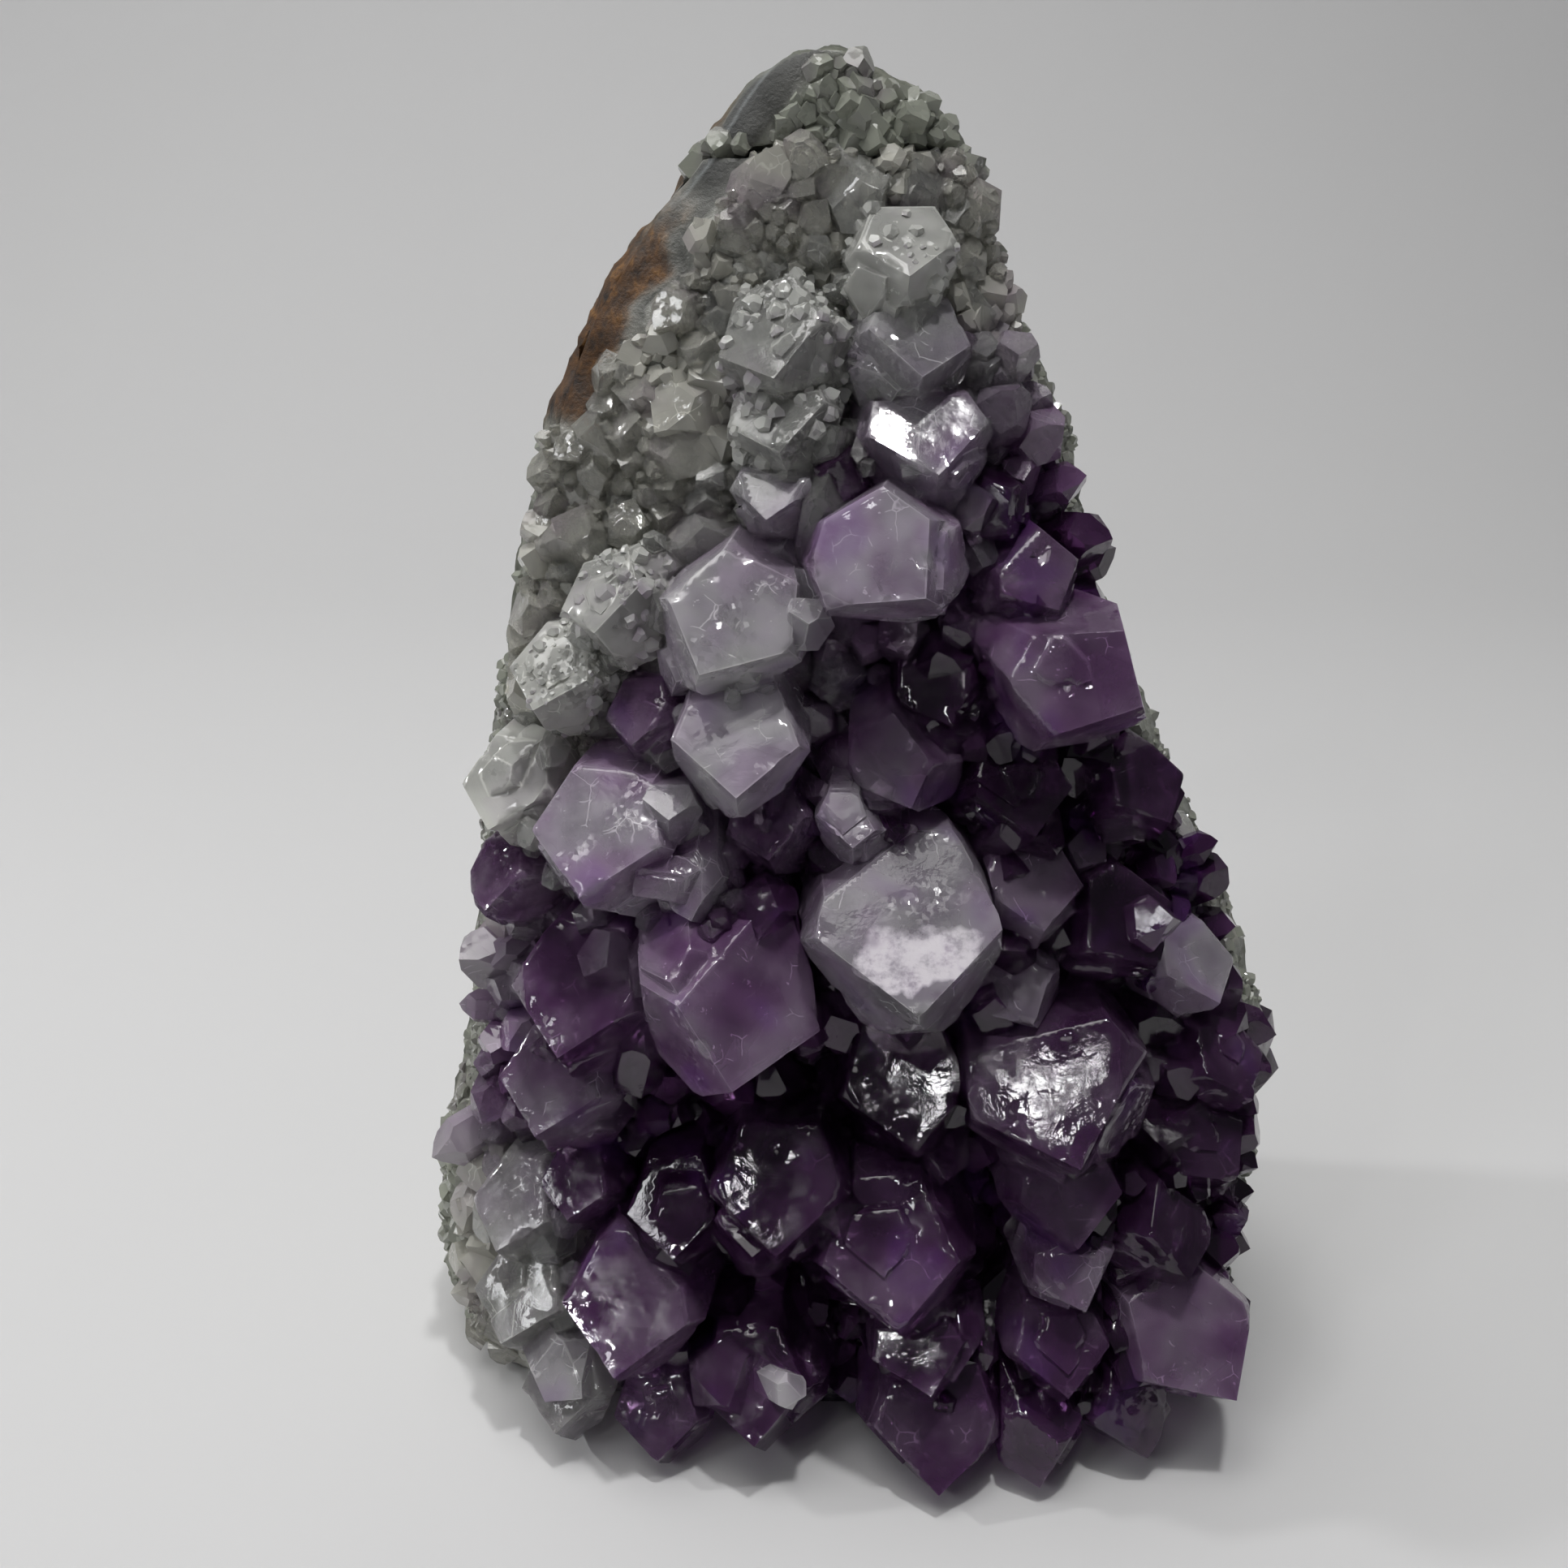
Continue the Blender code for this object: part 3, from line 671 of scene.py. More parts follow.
# How many blocks grew in step with a crystal, and how many by chance on its sides
BLOCKS = {
    "pale_giant": (1, 0), "right_spur": (1, 1), "left_giant": (2, 0), "mirror_giant": (3, 2),
    "lavender_head": (4, 2), "round_hexagon": (1, 1), "milk_lilac_head": (2, 1),
    "frosted_giant": (4, 3), "right_foot_giant": (2, 2), "lower_left_head": (3, 2),
    "sparkle_point": (4, 3), "crown_quartz": (3, 2), "left_cap_quartz": (4, 3),
    "grey_step_quartz": (4, 3), "clear_ledge": (4, 3), "left_clear_lump": (4, 3),
    "beige_lump": (4, 5), "corner_milk": (4, 4), "milk_lilac_chip": (3, 4), "white_shield": (3, 1),
}
# Clear crystals whose upper faces carry sugary druse
SUGARED = ("crown_quartz", "left_cap_quartz", "grey_step_quartz", "clear_ledge", "left_clear_lump")
# How much fine frost lies on a crystal, 0.3 where it is not listed
FROSTED = {
    "lavender_head": 0.9, "frosted_giant": 0.9, "mirror_giant": 0.8, "frosted_dome": 1.0,
    "sparkle_point": 0.9, "pale_giant": 0.35, "left_giant": 0.35, "crown_quartz": 0.8,
    "left_cap_quartz": 0.9, "right_cap_quartz": 0.7, "grey_step_quartz": 0.7,
    "milk_lilac_head": 0.5, "round_hexagon": 0.4, "clear_ledge": 0.9, "left_clear_lump": 0.9,
    "white_shield": 0.5, "beige_lump": 0.3, "speckled_tile": 0.9,
}


def veil_of(points, seed):
    """White band of inclusions across the middle of a crystal's head."""
    centre = points[points[:, 1].argmin()]
    ragged = 0.9 * MM * noise_at(points, 2.6 * MM, seed) + 0.5 * MM * noise_at(points, 0.9 * MM, seed)
    rise = points[:, 2] - centre[2] - VEIL_RISE - 0.12 * (points[:, 0] - centre[0]) + ragged
    band = smooth_step(-2.0 * MM, -1.4 * MM, rise) * smooth_step(2.6 * MM, 0.8 * MM, rise)
    aside = np.abs(points[:, 0] - centre[0]) + ragged
    return band * smooth_step(6.5 * MM, 4.5 * MM, aside)


def make_crystal(node, material, draw):
    work = merged_copy(node)
    bmesh.ops.dissolve_limit(
        work, angle_limit=math.radians(0.3), verts=work.verts, edges=work.edges)
    work.normal_update()
    axis, over = crystal_axes(work.faces)
    points = np.array([vertex.co for vertex in work.verts])
    twins, chance = BLOCKS.get(node, (3, 2))
    blocks = grown_blocks(points, axis, over, draw, twins, chance)
    mesh = union(work, blocks, f"{node}_crystal")
    work.free()
    seed = draw.uniform(0, 50)
    points = weather(mesh, axis, TINTS[node], seed)
    store(mesh, "veil", veil_of(points, seed) if node == "pale_giant" else np.zeros(len(points)))
    store(mesh, "frost", frost_of(points, seed, FROSTED.get(node, 0.3)))
    dress(mesh, material, CREASE)
    piece = new_object(f"{node}_crystal", mesh)
    show(piece, slots[node], node)
    return piece


# --------------------------------------------------------------- rind and bed

def outline_of(node, levels=44):
    """Left and right edge of a node at rising heights, as three arrays."""
    points = points_of(frame["nodes"][node].data)
    heights = np.linspace(0, HEIGHT, levels)
    reach = HEIGHT / levels
    left, right = [], []
    for height in heights:
        near = points[np.abs(points[:, 2] - height) < reach * 1.6]
        left.append(near[:, 0].min())
        right.append(near[:, 0].max())
    return heights, np.array(left), np.array(right)


def violet_at(points):
    """How violet the stone is at a place: clear top left, deep low down."""
    x, z = points[:, 0] / MM, points[:, 2] / MM
    across = (x + 13) * 0.75 + (84 - z) * 0.66
    violet = smooth_step(-4.0, 30.0, across)
    corner = np.hypot(x + 40, (z - 8) * 0.9)
    return violet * smooth_step(12.0, 26.0, corner)


def remeshed(node, voxel, name):
    """Even fine mesh of a CAD node."""
    work = merged_copy(node)
    mesh = bpy.data.meshes.new(name)
    work.to_mesh(mesh)
    work.free()
    holder = new_object(name, mesh)
    grid = holder.modifiers.new("grid", "REMESH")
    grid.mode = "VOXEL"
    grid.voxel_size = voxel
    made = finished_mesh(holder)
    bpy.data.objects.remove(holder)
    return made


def keep_zones(mesh, points, normals, sawn, quartz):
    """Keep on the mesh where the stone is stained, banded, chalky or drusy."""
    heights, left, _ = outline_of(ROCK)
    x, _, z = points.T
    inward = x - np.interp(z, heights, left)
    on_front = smooth_step(0.0, 0.5, -normals[:, 1])
    ragged = 1.2 * MM * noise_at(points, 4 * MM, 2.0)
    banded = smooth_step(104 * MM, 110 * MM, z) * smooth_step(3 * MM, -2 * MM, x)
    banded = banded * smooth_step(7.8 * MM, 6.6 * MM, inward + 0.5 * ragged)
    waving = 3 * MM * noise_at(points, 6 * MM, 5.0)
    rusty = smooth_step(96 * MM, 101 * MM, z + waving) * smooth_step(120 * MM, 113 * MM, z + waving)
    rusty = rusty * smooth_step(6.6 * MM, 4.8 * MM, inward + ragged) * smooth_step(1 * MM, -2 * MM, x)
    rusty = rusty * smooth_step(14 * MM, 6 * MM, points[:, 1] + 2 * waving)
    crest = smooth_step(3.2 * MM, 1.2 * MM, inward + ragged) * smooth_step(109 * MM, 115 * MM, z)
    rusty = np.clip(np.maximum(rusty, 0.85 * crest), 0, 1)
    chalky = smooth_step(34 * MM, 22 * MM, z) * smooth_step(-20 * MM, -30 * MM, x) * on_front
    wander = noise_at(points, 6 * MM)
    store(mesh, "sawn", sawn)
    store(mesh, "quartz", np.full(len(points), quartz))
    store(mesh, "druse", on_front * smooth_step(-0.5, 0.1, wander + 0.3))
    store(mesh, "rust", rusty)
    store(mesh, "chalk", np.clip(chalky, 0, 1))
    store(mesh, "agate", np.clip(banded * on_front * (1 - rusty), 0, 1))
    store(mesh, "inward", inward / MM)
    store(mesh, "violet", violet_at(points))


def make_rock(material):
    mesh = remeshed(ROCK, 0.75 * MM, "basalt_rock")
    points, normals = points_of(mesh), normals_of(mesh)
    sawn = (normals[:, 2] < -0.8) & (points[:, 2] < 1.2 * MM)
    keep_zones(mesh, points, normals, sawn.astype(float), 0.0)
    smooth = 1 - 0.75 * read(mesh, "agate")
    rough = 0.8 * noise_at(points, 9 * MM) + 0.6 * noise_at(points, 3.6 * MM, 4.0)
    rough += 0.5 * np.abs(noise_at(points, 1.7 * MM, 8.0)) - 0.35
    rough -= 0.9 * smooth_step(0.35, 0.6, noise_at(points, 2.8 * MM, 12.0))
    fades = np.where(sawn, 0.0, smooth_step(0.0, 3.0 * MM, points[:, 2]))
    moved = points + normals * (rough * smooth * fades * MM)[:, None]
    moved[:, 2] = np.where(sawn | (moved[:, 2] < 0.45 * MM), 0.0, moved[:, 2])
    set_points(mesh, moved)
    dress(mesh, material)
    piece = new_object("basalt_rock", mesh)
    show(piece, "basalt_rind", ROCK)
    return piece


def make_quartz_bed(material):
    mesh = remeshed(BED, 0.7 * MM, "quartz_bed")
    points, normals = points_of(mesh), normals_of(mesh)
    keep_zones(mesh, points, normals, np.zeros(len(points)), 1.0)
    plain = np.maximum(read(mesh, "agate"), read(mesh, "rust"))
    store(mesh, "quartz", 1 - plain)
    facing = smooth_step(0.1, 0.6, -normals[:, 1]) * (1 - 0.8 * plain)
    rough = 0.3 + 0.7 * noise_at(points, 4.5 * MM) + 0.4 * noise_at(points, 1.8 * MM, 3.0)
    sideways = smooth_step(0.75, 0.35, np.abs(normals[:, 1]))
    top = points[:, 2].max()
    sinking = smooth_step(top - 5 * MM, top, points[:, 2])
    push = (0.32 + 0.55 * sideways) * (1 - sinking) + rough * facing
    lift = smooth_step(0.0, 2.0 * MM, points[:, 2])
    moved = points + normals * (push * lift * MM)[:, None]
    moved[:, 2] = np.maximum(moved[:, 2], 0.0)
    set_points(mesh, moved)
    dress(mesh, material)
    piece = new_object("quartz_bed", mesh)
    show(piece, "drusy_quartz", BED)
    return piece


# ------------------------------------------------------ crystals in between

class Relief:
    """Depth of the model seen from the front, and how hollow each place is."""

    def __init__(self, step=1.0 * MM, reach=5):
        tree = BVHTree.FromPolygons(*joined_shape([made.data for made in frame["nodes"].values()]))
        self.step = step
        self.xs = np.arange(CAD_LOW.x, CAD_HIGH.x, step)
        self.zs = np.arange(CAD_LOW.z, CAD_HIGH.z, step)
        depth = np.full((len(self.xs), len(self.zs)), 0.02)
        facing = np.zeros((len(self.xs), len(self.zs), 3))
        for i, x in enumerate(self.xs):
            for k, z in enumerate(self.zs):
                hit, normal, _, _ = tree.ray_cast((x, -0.1, z), (0, 1, 0))
                if hit:
                    depth[i, k] = hit.y
                    facing[i, k] = normal
        self.depth = depth
        heights, left, right = outline_of(ROCK)
        self.left, self.right = (heights, left), (heights, right)
        front, general, count = np.zeros_like(depth), facing.copy(), 0
        for di in range(-reach, reach + 1):
            for dk in range(-reach, reach + 1):
                if di * di + dk * dk <= reach * reach:
                    front += np.roll(depth, (di, dk), (0, 1))
                    general += np.roll(facing, (di, dk), (0, 1))
                    count += 1
        self.groove = depth - front / count
        self.facing = general / (np.linalg.norm(general, axis=2, keepdims=True) + 1e-9)

    def at(self, x, z):
        i = int(np.clip((x - self.xs[0]) / self.step, 0, len(self.xs) - 1))
        k = int(np.clip((z - self.zs[0]) / self.step, 0, len(self.zs) - 1))
        return self.depth[i, k], self.groove[i, k], Vector(self.facing[i, k])


# Smaller crystals that can be told apart: x, z, width, stand-out in
# millimetres, how violet, how milky
SMALL_CRYSTALS = (
    (-6.3, 89.2, 5.4, 1.5, 0.20, 0.3), (16.6, 93.5, 5.1, 1.0, 0.05, 0.6),
    (-4.5, 83.8, 4.7, 3.0, 0.25, 0.6), (-5.5, 78.7, 6.2, 2.5, 0.45, 0.4),
    (-2.2, 73.2, 5.5, 2.5, 0.60, 0.2), (33.5, 58.9, 4.8, 1.5, 0.10, 0.6),
    (27.5, 56.5, 4.6, 3.0, 0.65, 0.3), (-16.4, 67.0, 5.6, 3.0, 0.30, 0.5),
    (-7.4, 58.3, 6.0, 2.5, 0.80, 0.2), (-22.3, 52.3, 5.6, 3.0, 0.60, 0.3),
    (-31.1, 52.2, 7.1, 1.5, 0.65, 0.3), (-19.9, 40.2, 7.0, 3.0, 0.90, 0.1),
    (-22.3, 25.8, 6.8, 2.5, 1.00, 0.0), (8.8, 31.0, 7.8, 3.0, 0.70, 0.3),
    (14.4, 32.0, 5.1, 2.5, 0.95, 0.1), (15.1, 19.1, 5.9, 3.0, 0.90, 0.1),
    (30.6, 32.9, 6.4, 3.0, 0.90, 0.1), (-0.2, 5.5, 6.9, 3.0, 0.90, 0.1),
    (-11.5, 10.5, 7.6, 2.0, 0.70, 0.3), (-26.4, 8.8, 7.8, 2.0, 0.30, 0.6),
    (-5.5, 11.5, 3.4, 2.0, 0.25, 0.9), (-33.2, 9.0, 5.8, 1.5, 0.05, 0.8),
    (39.0, 24.6, 6.6, 1.5, 0.20, 0.6), (7.8, 80.0, 5.0, 2.5, 1.00, 0.0),
)


def facing_crystal(relief, x, z, radius, stand, lean, draw):
    """A crystal with its tip this far out of the surface behind (x, z)."""
    depth, _, facing = relief.at(x, z)
    out = (facing + Vector((0, -0.35, 0))).normalized()
    out = (out + Vector([draw.gauss(0, lean) for _ in range(3)])).normalized()
    if out.y > -0.3:
        out = Vector((out.x, -0.3, out.z)).normalized()
    tip = Vector((x, depth, z)) + out * stand
    over = out.cross(Vector((draw.uniform(-1, 1), 0, draw.uniform(-1, 1)))).normalized()
    return lone_crystal(tip, out, over, radius, draw, radius * 2.2 + stand + 2.5 * MM), out


def make_between(materials, draw):
    """Fill the grooves between the large crystals with chance ones."""
    relief = Relief()
    low, high = CAD_LOW / MM, CAD_HIGH / MM
    wanted = [
        (x, z, width / 2, stand, violet, milk, 0.18) for x, z, width, stand, violet, milk in SMALL_CRYSTALS
    ]
    taken = [(row[0], row[1], row[2]) for row in wanted]
    for _ in range(9000):
        x, z = draw.uniform(low.x, high.x), draw.uniform(low.z + 2, high.z - 9)
        _, groove, facing = relief.at(x * MM, z * MM)
        edge_left = x - np.interp(z * MM, *relief.left) / MM
        edge_right = np.interp(z * MM, *relief.right) / MM - x
        if groove < 0.35 * MM or facing.y > -0.62 or min(edge_left, edge_right) < 4.0:
            continue
        radius = draw.choice((0.8, 1.1, 1.4, 1.8, 2.3, 2.7))
        room = min(math.hypot(x - a, z - b) - 0.6 * (r + radius) for a, b, r in taken)
        if room < 0:
            continue
        taken.append((x, z, radius))
        violet = float(violet_at(np.array([(x * MM, 0, z * MM)]))[0])
        violet = violet * draw.choice((0.75, 0.9, 1.0, 1.05, 1.1))
        stand = min(groove / MM * draw.uniform(1.4, 2.8), radius * 2.4)
        wanted.append((x, z, radius, stand, violet, draw.uniform(0, 0.5) * (1 - violet), 0.45))
    parts = {"clear": [], "violet": []}
    for x, z, radius, stand, violet, milk, lean in wanted:
        work, axis = facing_crystal(relief, x * MM, z * MM, radius * MM, stand * MM, lean, draw)
        mesh = bpy.data.meshes.new("between")
        work.to_mesh(mesh)
        work.free()
        points = weather(mesh, axis, (violet, milk), draw.uniform(0, 50), 1.7 * MM)
        store(mesh, "frost", frost_of(points, draw.uniform(0, 50), 0.15))
        parts["clear" if violet < 0.12 else "violet"].append(new_object("between", mesh))
    for key, slot in (("clear", "drusy_quartz"), ("violet", "amethyst_mid")):
        piece = joined(parts[key], f"{key}_between", materials[key])
        show(piece, slot)


def joined(objects, name, material):
    """One piece made of several objects' meshes."""
    meshes = [made.data for made in objects]
    points, faces = joined_shape(meshes)
    whole = bpy.data.meshes.new(name)
    whole.from_pydata(points, [], faces)
    for key in ("violet", "milk", "edge", "tipward", "frost"):
        store(whole, key, np.concatenate([read(mesh, key) for mesh in meshes]))
    for made in objects:
        bpy.data.objects.remove(made)
    dress(whole, material, CREASE)
    return new_object(name, whole)


# ------------------------------------------------------------- small crystals

def sprig(name, draw, length):
    """One small crystal that points up, one metre in radius, to be scaled."""
    axis, over = Vector((0, 0, 1)), Vector((1, 0, 0))
    planes = point_planes(Vector((0, 0, length)), axis, over, 1.0, draw, length + 0.9)
    work = hewn(planes, Vector((0, 0, 0)), 4.0)
    mesh = bpy.data.meshes.new(name)
    work.to_mesh(mesh)
    work.free()
    heights = points_of(mesh)[:, 2]
    store(mesh, "tipward", (heights - heights.min()) / (heights.max() - heights.min()))
    # edge is 0.35 all over a sprig, so the lightening at edges, partly a painted edge highlight, lightens
    # the whole sprig a little
    store(mesh, "edge", np.full(len(heights), 0.35))
    return bpy.data.objects.new(name, mesh)


def sprigs(name, count, lengths, seed):
    """Collection of differently grown small crystals."""
    kept = bpy.data.collections.new(name)
    draw = random.Random(seed)
    for place in range(count):
        kept.objects.link(sprig(f"{name}_{place}", draw, draw.uniform(*lengths)))
    return kept


def scatter_tree():
    """Geometry nodes that grow small crystals out of a surface."""
    tree = bpy.data.node_groups.new("grow_small_crystals", "GeometryNodeTree")
    face = tree.interface
    face.new_socket("Geometry", in_out="INPUT", socket_type="NodeSocketGeometry")
    face.new_socket("Geometry", in_out="OUTPUT", socket_type="NodeSocketGeometry")
    for name, kind in (
        ("Sprigs", "NodeSocketCollection"), ("Spacing", "NodeSocketFloat"),
        ("Smallest", "NodeSocketFloat"), ("Largest", "NodeSocketFloat"),
        ("Lean", "NodeSocketFloat"), ("Seed", "NodeSocketInt"), ("Finish", "NodeSocketMaterial"),
    ):
        face.new_socket(name, in_out="INPUT", socket_type=kind)
    nodes, link = tree.nodes, tree.links.new
    given = nodes.new("NodeGroupInput").outputs
    spread = nodes.new("GeometryNodeDistributePointsOnFaces")
    spread.distribute_method = "POISSON"
    spread.inputs["Density Max"].default_value = 4.0e6
    link(given["Geometry"], spread.inputs["Mesh"])
    link(given["Spacing"], spread.inputs["Distance Min"])
    link(given["Seed"], spread.inputs["Seed"])
    wanted = nodes.new("GeometryNodeInputNamedAttribute")
    wanted.data_type = "FLOAT"
    wanted.inputs["Name"].default_value = "grow"
    link(wanted.outputs["Attribute"], spread.inputs["Density Factor"])
    source = nodes.new("GeometryNodeCollectionInfo")
    source.inputs["Separate Children"].default_value = True
    source.inputs["Reset Children"].default_value = True
    link(given["Sprigs"], source.inputs["Collection"])
    lean = nodes.new("FunctionNodeRandomValue")
    lean.data_type = "FLOAT_VECTOR"
    low = nodes.new("ShaderNodeVectorMath")
    low.operation = "SCALE"
    low.inputs[0].default_value = (-1, -1, -20)
    high = nodes.new("ShaderNodeVectorMath")
    high.operation = "SCALE"
    high.inputs[0].default_value = (1, 1, 20)
    for end in (low, high):
        link(given["Lean"], end.inputs["Scale"])
    link(low.outputs[0], lean.inputs["Min"])
    link(high.outputs[0], lean.inputs["Max"])
    link(given["Seed"], lean.inputs["Seed"])
    turn = nodes.new("FunctionNodeEulerToRotation")
    link(lean.outputs["Value"], turn.inputs["Euler"])
    placed = nodes.new("FunctionNodeRotateRotation")
    placed.rotation_space = "LOCAL"
    link(spread.outputs["Rotation"], placed.inputs["Rotation"])
    link(turn.outputs["Rotation"], placed.inputs["Rotate By"])
    size = nodes.new("FunctionNodeRandomValue")
    size.data_type = "FLOAT"
    link(given["Smallest"], size.inputs[2])
    link(given["Largest"], size.inputs[3])
    link(given["Seed"], size.inputs["Seed"])
    share = nodes.new("GeometryNodeInputNamedAttribute")
    share.data_type = "FLOAT"
    share.inputs["Name"].default_value = "swell"
    scaled = nodes.new("ShaderNodeMath")
    scaled.operation = "MULTIPLY"
    link(size.outputs[1], scaled.inputs[0])
    link(share.outputs["Attribute"], scaled.inputs[1])
    grow = nodes.new("GeometryNodeInstanceOnPoints")
    grow.inputs["Pick Instance"].default_value = True
    link(spread.outputs["Points"], grow.inputs["Points"])
    link(source.outputs["Instances"], grow.inputs["Instance"])
    link(placed.outputs["Rotation"], grow.inputs["Rotation"])
    link(scaled.outputs[0], grow.inputs["Scale"])
    real = nodes.new("GeometryNodeRealizeInstances")
    coat = nodes.new("GeometryNodeSetMaterial")
    result = nodes.new("NodeGroupOutput").inputs
    link(grow.outputs["Instances"], real.inputs["Geometry"])
    link(real.outputs["Geometry"], coat.inputs["Geometry"])
    link(given["Finish"], coat.inputs["Material"])
    link(coat.outputs["Geometry"], result["Geometry"])
    return tree


def grow(tree, name, surface, slot, **inputs):
    """Run the scatter on a surface mesh and keep the result as a piece."""
    holder = new_object(name, surface)
    modifier = holder.modifiers.new("grow", "NODES")
    modifier.node_group = tree
    inputs_of = [item for item in tree.interface.items_tree if item.in_out == "INPUT"]
    sockets = {item.name: item.identifier for item in inputs_of}
    for key, value in inputs.items():
        modifier[sockets[key]] = value
    mesh = finished_mesh(holder)
    bpy.data.objects.remove(holder)
    if not mesh.vertices:
        return None
    piece = new_object(name, mesh)
    show(piece, slot)
    return piece


def seed_surface(piece, name, keep, values):
    """Copy of a piece's mesh that tells the scatter where to grow."""
    mesh = piece.data.copy()
    mesh.name = name
    store(mesh, "grow", keep)
    for key, value in values.items():
        store(mesh, key, value)
    return mesh


def crystal_hull():
    """All the CAD crystals as one tree to measure distances from."""
    crystals = [made.data for node, made in frame["nodes"].items() if node not in (ROCK, BED)]
    return BVHTree.FromPolygons(*joined_shape(crystals))


def grow_on_bed(tree, bed, kinds, finishes):
    """Druse over the quartz bed wherever no large crystal covers it."""
    hull = crystal_hull()
    points, normals = points_of(bed.data), normals_of(bed.data)
    violet = violet_at(points)
    clear = np.array([hull.find_nearest(point)[3] for point in points]) > 0.4 * MM
    front = -normals[:, 1] > 0.15
    stained = np.maximum(read(bed.data, "agate"), read(bed.data, "rust")) > 0.3
    open_bed = (clear & front & (points[:, 2] > 3.0 * MM) & ~stained).astype(float)
    kept = {
        "violet": violet,
        "milk": 0.20 + 0.6 * smooth_step(-0.3, 0.4, noise_at(points, 7 * MM)),
        "frost": np.full(len(points), 0.2),
        "swell": 0.8 + 0.4 * smooth_step(-0.4, 0.4, noise_at(points, 5 * MM, 6.0)),
    }
    quartz = open_bed * (1 - smooth_step(0.15, 0.45, violet))
    purple = open_bed * smooth_step(0.08, 0.3, violet)
    jobs = (
        ("quartz_druse_large", quartz, "drusy_quartz", "blocky", 2.5, 1.1, 2.4, 0.9, "clear_druse"),
        ("quartz_druse_small", quartz, "drusy_quartz", "tall", 1.0, 0.30, 0.85, 0.9, "clear_druse"),
        ("violet_druse_large", purple, "amethyst_deep", "tall", 3.0, 1.3, 2.4, 0.5, "violet_druse"),
        ("violet_druse_small", purple, "amethyst_deep", "blocky", 1.5, 0.5, 1.2, 0.7, "violet_druse"),
    )
    for place, (name, share, slot, source, gap, low, high, lean, finish) in enumerate(jobs):
        surface = seed_surface(bed, name, share, kept)
        grow(tree, name, surface, slot, Sprigs=kinds[source], Spacing=gap * MM,
             Smallest=low * MM, Largest=high * MM, Lean=lean, Seed=SEED + place,
             Finish=finishes[finish])


def grow_on_rim(tree, rock, kinds, finishes):
    """Fine grey-green druse on the broken front edge of the rind."""
    points = points_of(rock.data)
    zones = {name: read(rock.data, name) for name in ("agate", "rust", "chalk", "druse")}
    bed_top = points_of(frame["nodes"][BED].data)[:, 2].max()
    ledge = smooth_step(1.6 * MM, 0.6 * MM, np.abs(points[:, 2] - bed_top - 0.4 * MM))
    bare = np.maximum(zones["agate"], zones["rust"]) * (1 - ledge)
    rim = zones["druse"] * (1 - smooth_step(0.1, 0.4, bare)) * (points[:, 2] > 1.5 * MM)
    kept = {
        "violet": np.full(len(points), 0.0), "milk": 0.3 + 0.3 * zones["chalk"],
        "frost": np.full(len(points), 0.5),
        "swell": 1.0 + 0.7 * zones["chalk"] + 0.9 * smooth_step(114 * MM, 120 * MM, points[:, 2]),
    }
    surface = seed_surface(rock, "rim_druse", rim, kept)
    grow(tree, "rim_druse", surface, "drusy_quartz", Sprigs=kinds["blocky"], Spacing=1.08 * MM,
         Smallest=0.25 * MM, Largest=0.75 * MM, Lean=0.9, Seed=SEED + 9, Finish=finishes["rim_druse"])


def grow_sugar(tree, crystals, kinds, finish):
    """Sugary druse on the upper faces of the frosted clear crystals."""
    meshes = [crystals[node].data for node in sorted(SUGARED)]
    points, faces = joined_shape(meshes)
    normals = np.concatenate([normals_of(mesh) for mesh in meshes])
    violet, frost, tipward = (
        np.concatenate([read(mesh, name) for mesh in meshes]) for name in ("violet", "frost", "tipward"))
    surface = bpy.data.meshes.new("sugar")
    surface.from_pydata(points, [], faces)
    store(surface, "grow", smooth_step(0.1, 0.6, normals[:, 2]) * smooth_step(0.35, 0.8, frost))
    store(surface, "violet", violet * 0.6)
    store(surface, "milk", np.full(len(points), 0.4))
    store(surface, "frost", np.full(len(points), 0.6))
    store(surface, "swell", np.ones(len(points)))
    coarse = surface.copy()
    flank = smooth_step(0.86, 0.70, tipward) * smooth_step(0.1, -0.2, normals[:, 1])
    store(coarse, "grow", flank)
    grow(tree, "sugar", surface, "drusy_quartz", Sprigs=kinds["blocky"], Spacing=0.75 * MM,
         Smallest=0.12 * MM, Largest=0.34 * MM, Lean=1.0, Seed=SEED + 20, Finish=finish)
    grow(tree, "flank_druse", coarse, "drusy_quartz", Sprigs=kinds["blocky"], Spacing=1.5 * MM,
         Smallest=0.35 * MM, Largest=0.85 * MM, Lean=1.0, Seed=SEED + 30, Finish=finish)


def grow_everything(bed, rock, crystals, finishes):
    tree = scatter_tree()
    kinds = {
        "blocky": sprigs("blocky_sprig", 6, (0.9, 1.5), SEED),
        "tall": sprigs("tall_sprig", 6, (1.6, 2.6), SEED + 1),
    }
    grow_on_bed(tree, bed, kinds, finishes)
    grow_on_rim(tree, rock, kinds, finishes)
    grow_sugar(tree, crystals, kinds, finishes["sugar"])
    for kept in kinds.values():
        for helper in list(kept.objects):
            bpy.data.objects.remove(helper)
        bpy.data.collections.remove(kept)


# ------------------------------------------------------------ stage and light

CAMERA_PLACE = (-6.16 * MM, -142.23 * MM, 121 * MM)
CAMERA_DOWN = math.radians(22)
CAMERA_LENS = 35.4

# The sweep, seen from the side: flat as far as the bend, then up as a wall
SWEEP_FRONT, SWEEP_BEND, SWEEP_ROUND = -1.2, 0.30, 0.25
SWEEP_HIGH, SWEEP_HALF_WIDE = 1.2, 1.6

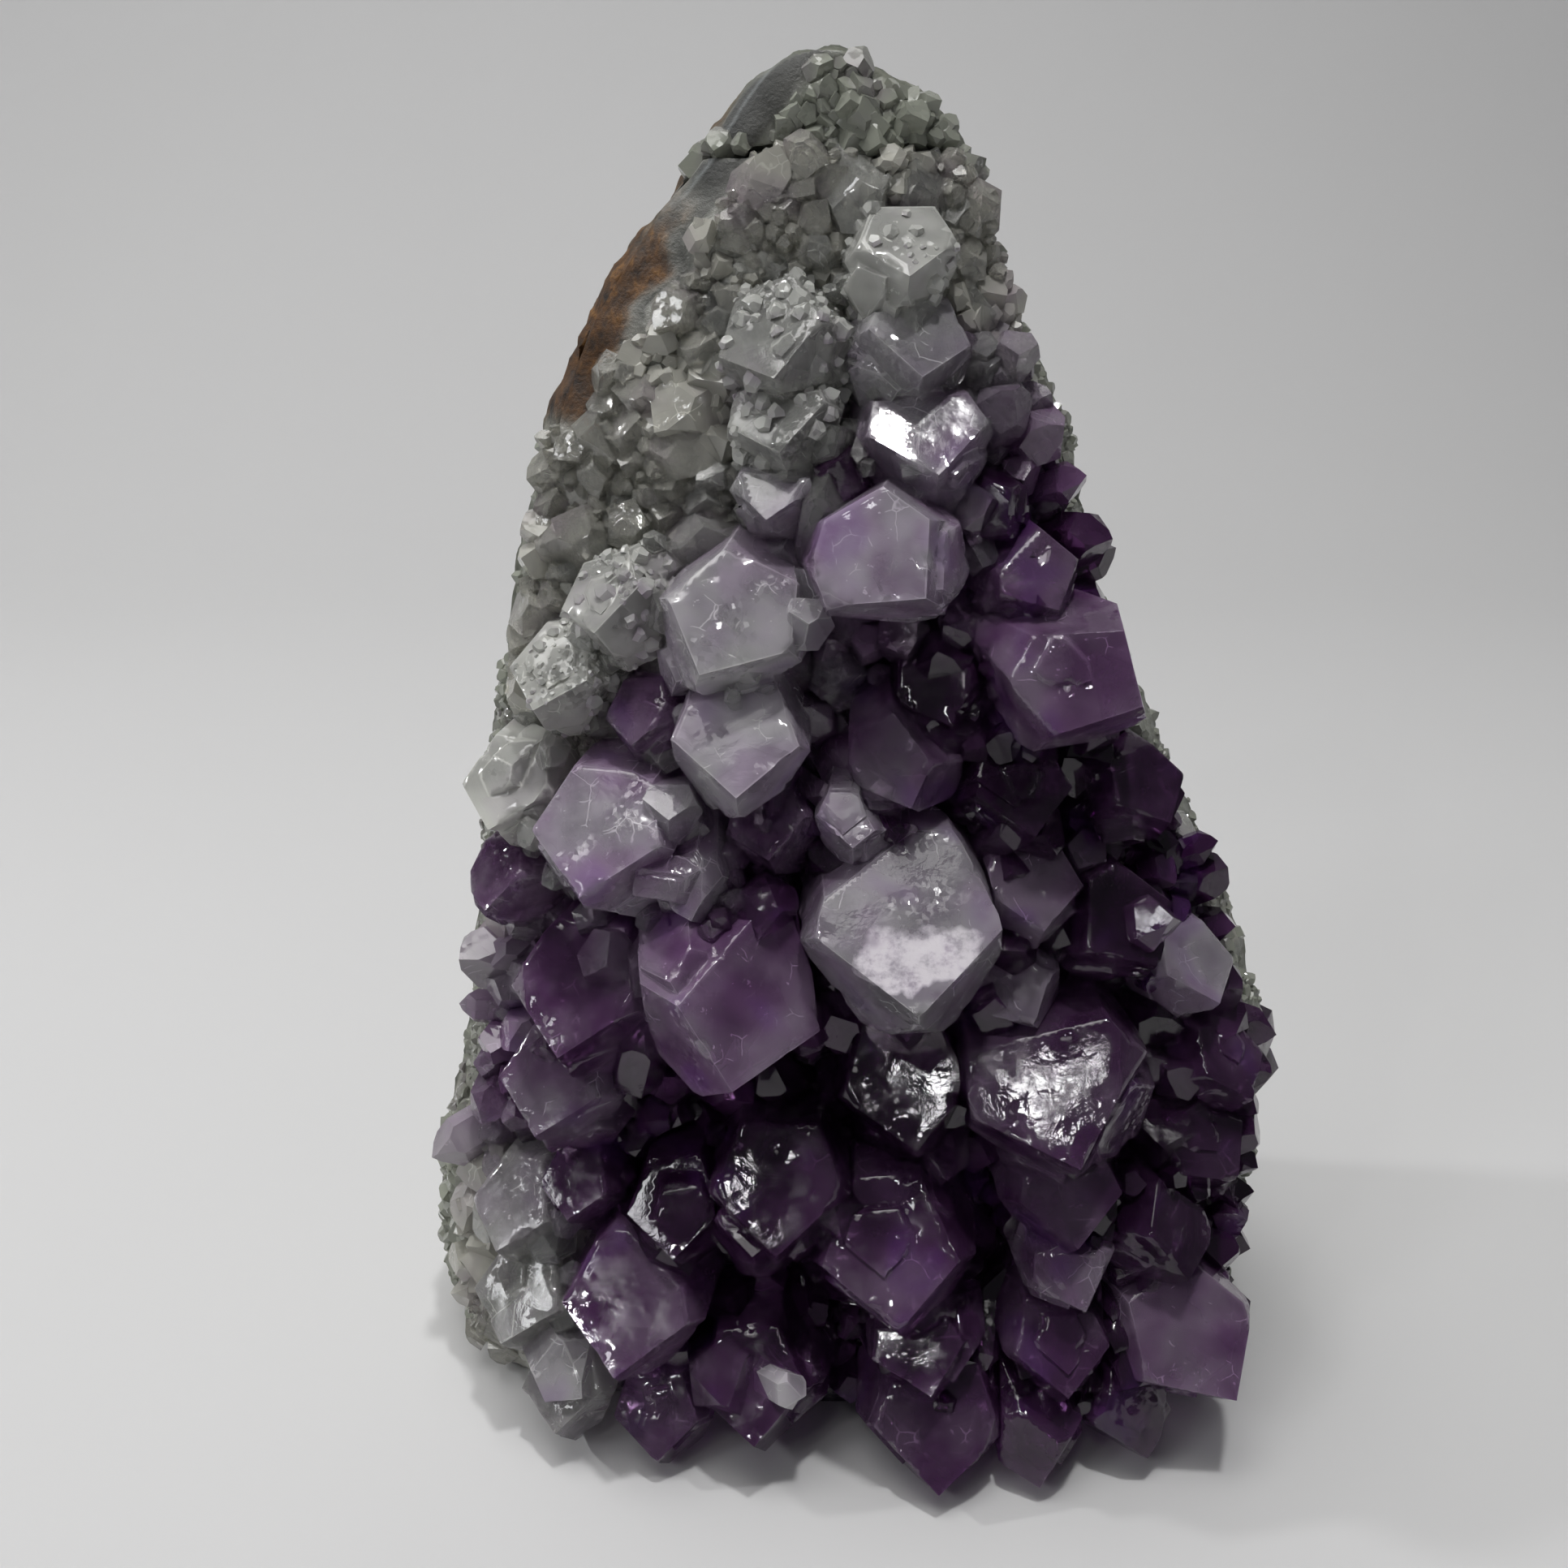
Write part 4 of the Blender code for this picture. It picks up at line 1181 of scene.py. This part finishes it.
# Disk lamps, all aimed at the middle: place, size, power and colour
LAMPS = {
    "ceiling": ((-0.35, -0.20, 2.0), 1.3, 9.0, (1.0, 0.99, 0.97)),
    "overhead": ((-0.12, 0.02, 0.62), 0.36, 1.0, (1.0, 0.99, 0.98)),
    "window": ((-1.1, -0.9, 1.2), 0.32, 2.6, (0.97, 0.98, 1.0)),
    "glint": ((0.05, -0.10, 0.70), 0.045, 1.5, (1.0, 1.0, 1.0)),
    "mirror_glint": ((-0.10, -0.43, 0.60), 0.038, 0.12, (1.0, 1.0, 1.0)),
    "side_glint": ((-0.60, 0.05, 0.45), 0.04, 1.2, (1.0, 1.0, 1.0)),
    "left_glint": ((-0.40, -0.55, 0.55), 0.04, 0.3, (1.0, 1.0, 1.0)),
}
MIDDLE = Vector((0, 0, 0.06))


def make_stage():
    """Pale floor that curves up into a backdrop far behind the geode."""
    profile = [(SWEEP_FRONT, 0.0), (SWEEP_BEND, 0.0)]
    for step in range(1, 13):
        turn = step / 12 * math.pi / 2
        rise = SWEEP_ROUND - SWEEP_ROUND * math.cos(turn)
        profile.append((SWEEP_BEND + SWEEP_ROUND * math.sin(turn), rise))
    profile.append((SWEEP_BEND + SWEEP_ROUND, SWEEP_HIGH))
    verts, faces = [], []
    for x in (-SWEEP_HALF_WIDE, SWEEP_HALF_WIDE):
        verts += [(x, y, z) for y, z in profile]
    count = len(profile)
    for row in range(count - 1):
        faces.append((row, row + count, row + count + 1, row + 1))
    mesh = bpy.data.meshes.new("paper_sweep")
    mesh.from_pydata(verts, [], faces)
    mesh.shade_smooth()
    mesh.materials.append(paper_material("paper", rgb(0.60, 0.60, 0.60)))
    sweep = new_object("paper_sweep", mesh)


def light_the_stage():
    for name, (place, size, power, colour) in LAMPS.items():
        data = bpy.data.lights.new(name, "AREA")
        data.shape = "DISK"
        data.size = size
        data.energy = power
        data.color = colour
        lamp = new_object(name, data)
        lamp.location = place
        lamp.rotation_euler = (MIDDLE - Vector(place)).to_track_quat("-Z", "Y").to_euler()
    world = bpy.data.worlds.new("room")
    world.use_nodes = True
    backdrop = world.node_tree.nodes["Background"].inputs
    backdrop["Color"].default_value = rgb(0.60, 0.60, 0.65)
    backdrop["Strength"].default_value = 0.125
    bpy.context.scene.world = world


def make_camera():
    """Close view from 14 cm in front of the stone, looking down a little."""
    data = bpy.data.cameras.new("view")
    data.sensor_width = 36.0
    data.lens = CAMERA_LENS
    data.clip_start = 5 * MM
    view = new_object("view", data)
    view.location = CAMERA_PLACE
    view.rotation_euler = (math.radians(90) - CAMERA_DOWN, 0, 0)
    bpy.context.scene.camera = view


def main():
    draw = random.Random(SEED)
    finishes = {
        "clear": crystal_material("clear_quartz", 0.9, 0.92, rgb(0.98, 0.98, 0.95)),
        "violet": crystal_material("amethyst", 0.8, 0.92, rgb(1.0, 1.0, 1.0)),
        "clear_druse": crystal_material("clear_druse", 0.9, 0.86, rgb(0.97, 0.95, 0.88), 0.10),
        "sugar": crystal_material("sugar", 0.9, 0.55, rgb(0.86, 0.86, 0.83), 0.10),
        "violet_druse": crystal_material("amethyst_druse", 0.9, 0.80, rgb(0.7, 0.65, 0.7)),
        "rim_druse": crystal_material("rim_druse", 0.9, 0.55, rgb(0.55, 0.57, 0.49)),
    }
    crystals = {}
    for node in sorted(frame["nodes"]):
        if node not in (ROCK, BED):
            kind = "clear" if slots[node].startswith("quartz") else "violet"
            crystals[node] = make_crystal(node, finishes[kind], draw)
    rock = make_rock(stone_material("basalt_rock"))
    bed = make_quartz_bed(stone_material("quartz_bed"))
    make_between(finishes, draw)
    grow_everything(bed, rock, crystals, finishes)
    make_stage()
    light_the_stage()
    make_camera()
    bpy.context.scene.view_settings.view_transform = "Standard"


main()
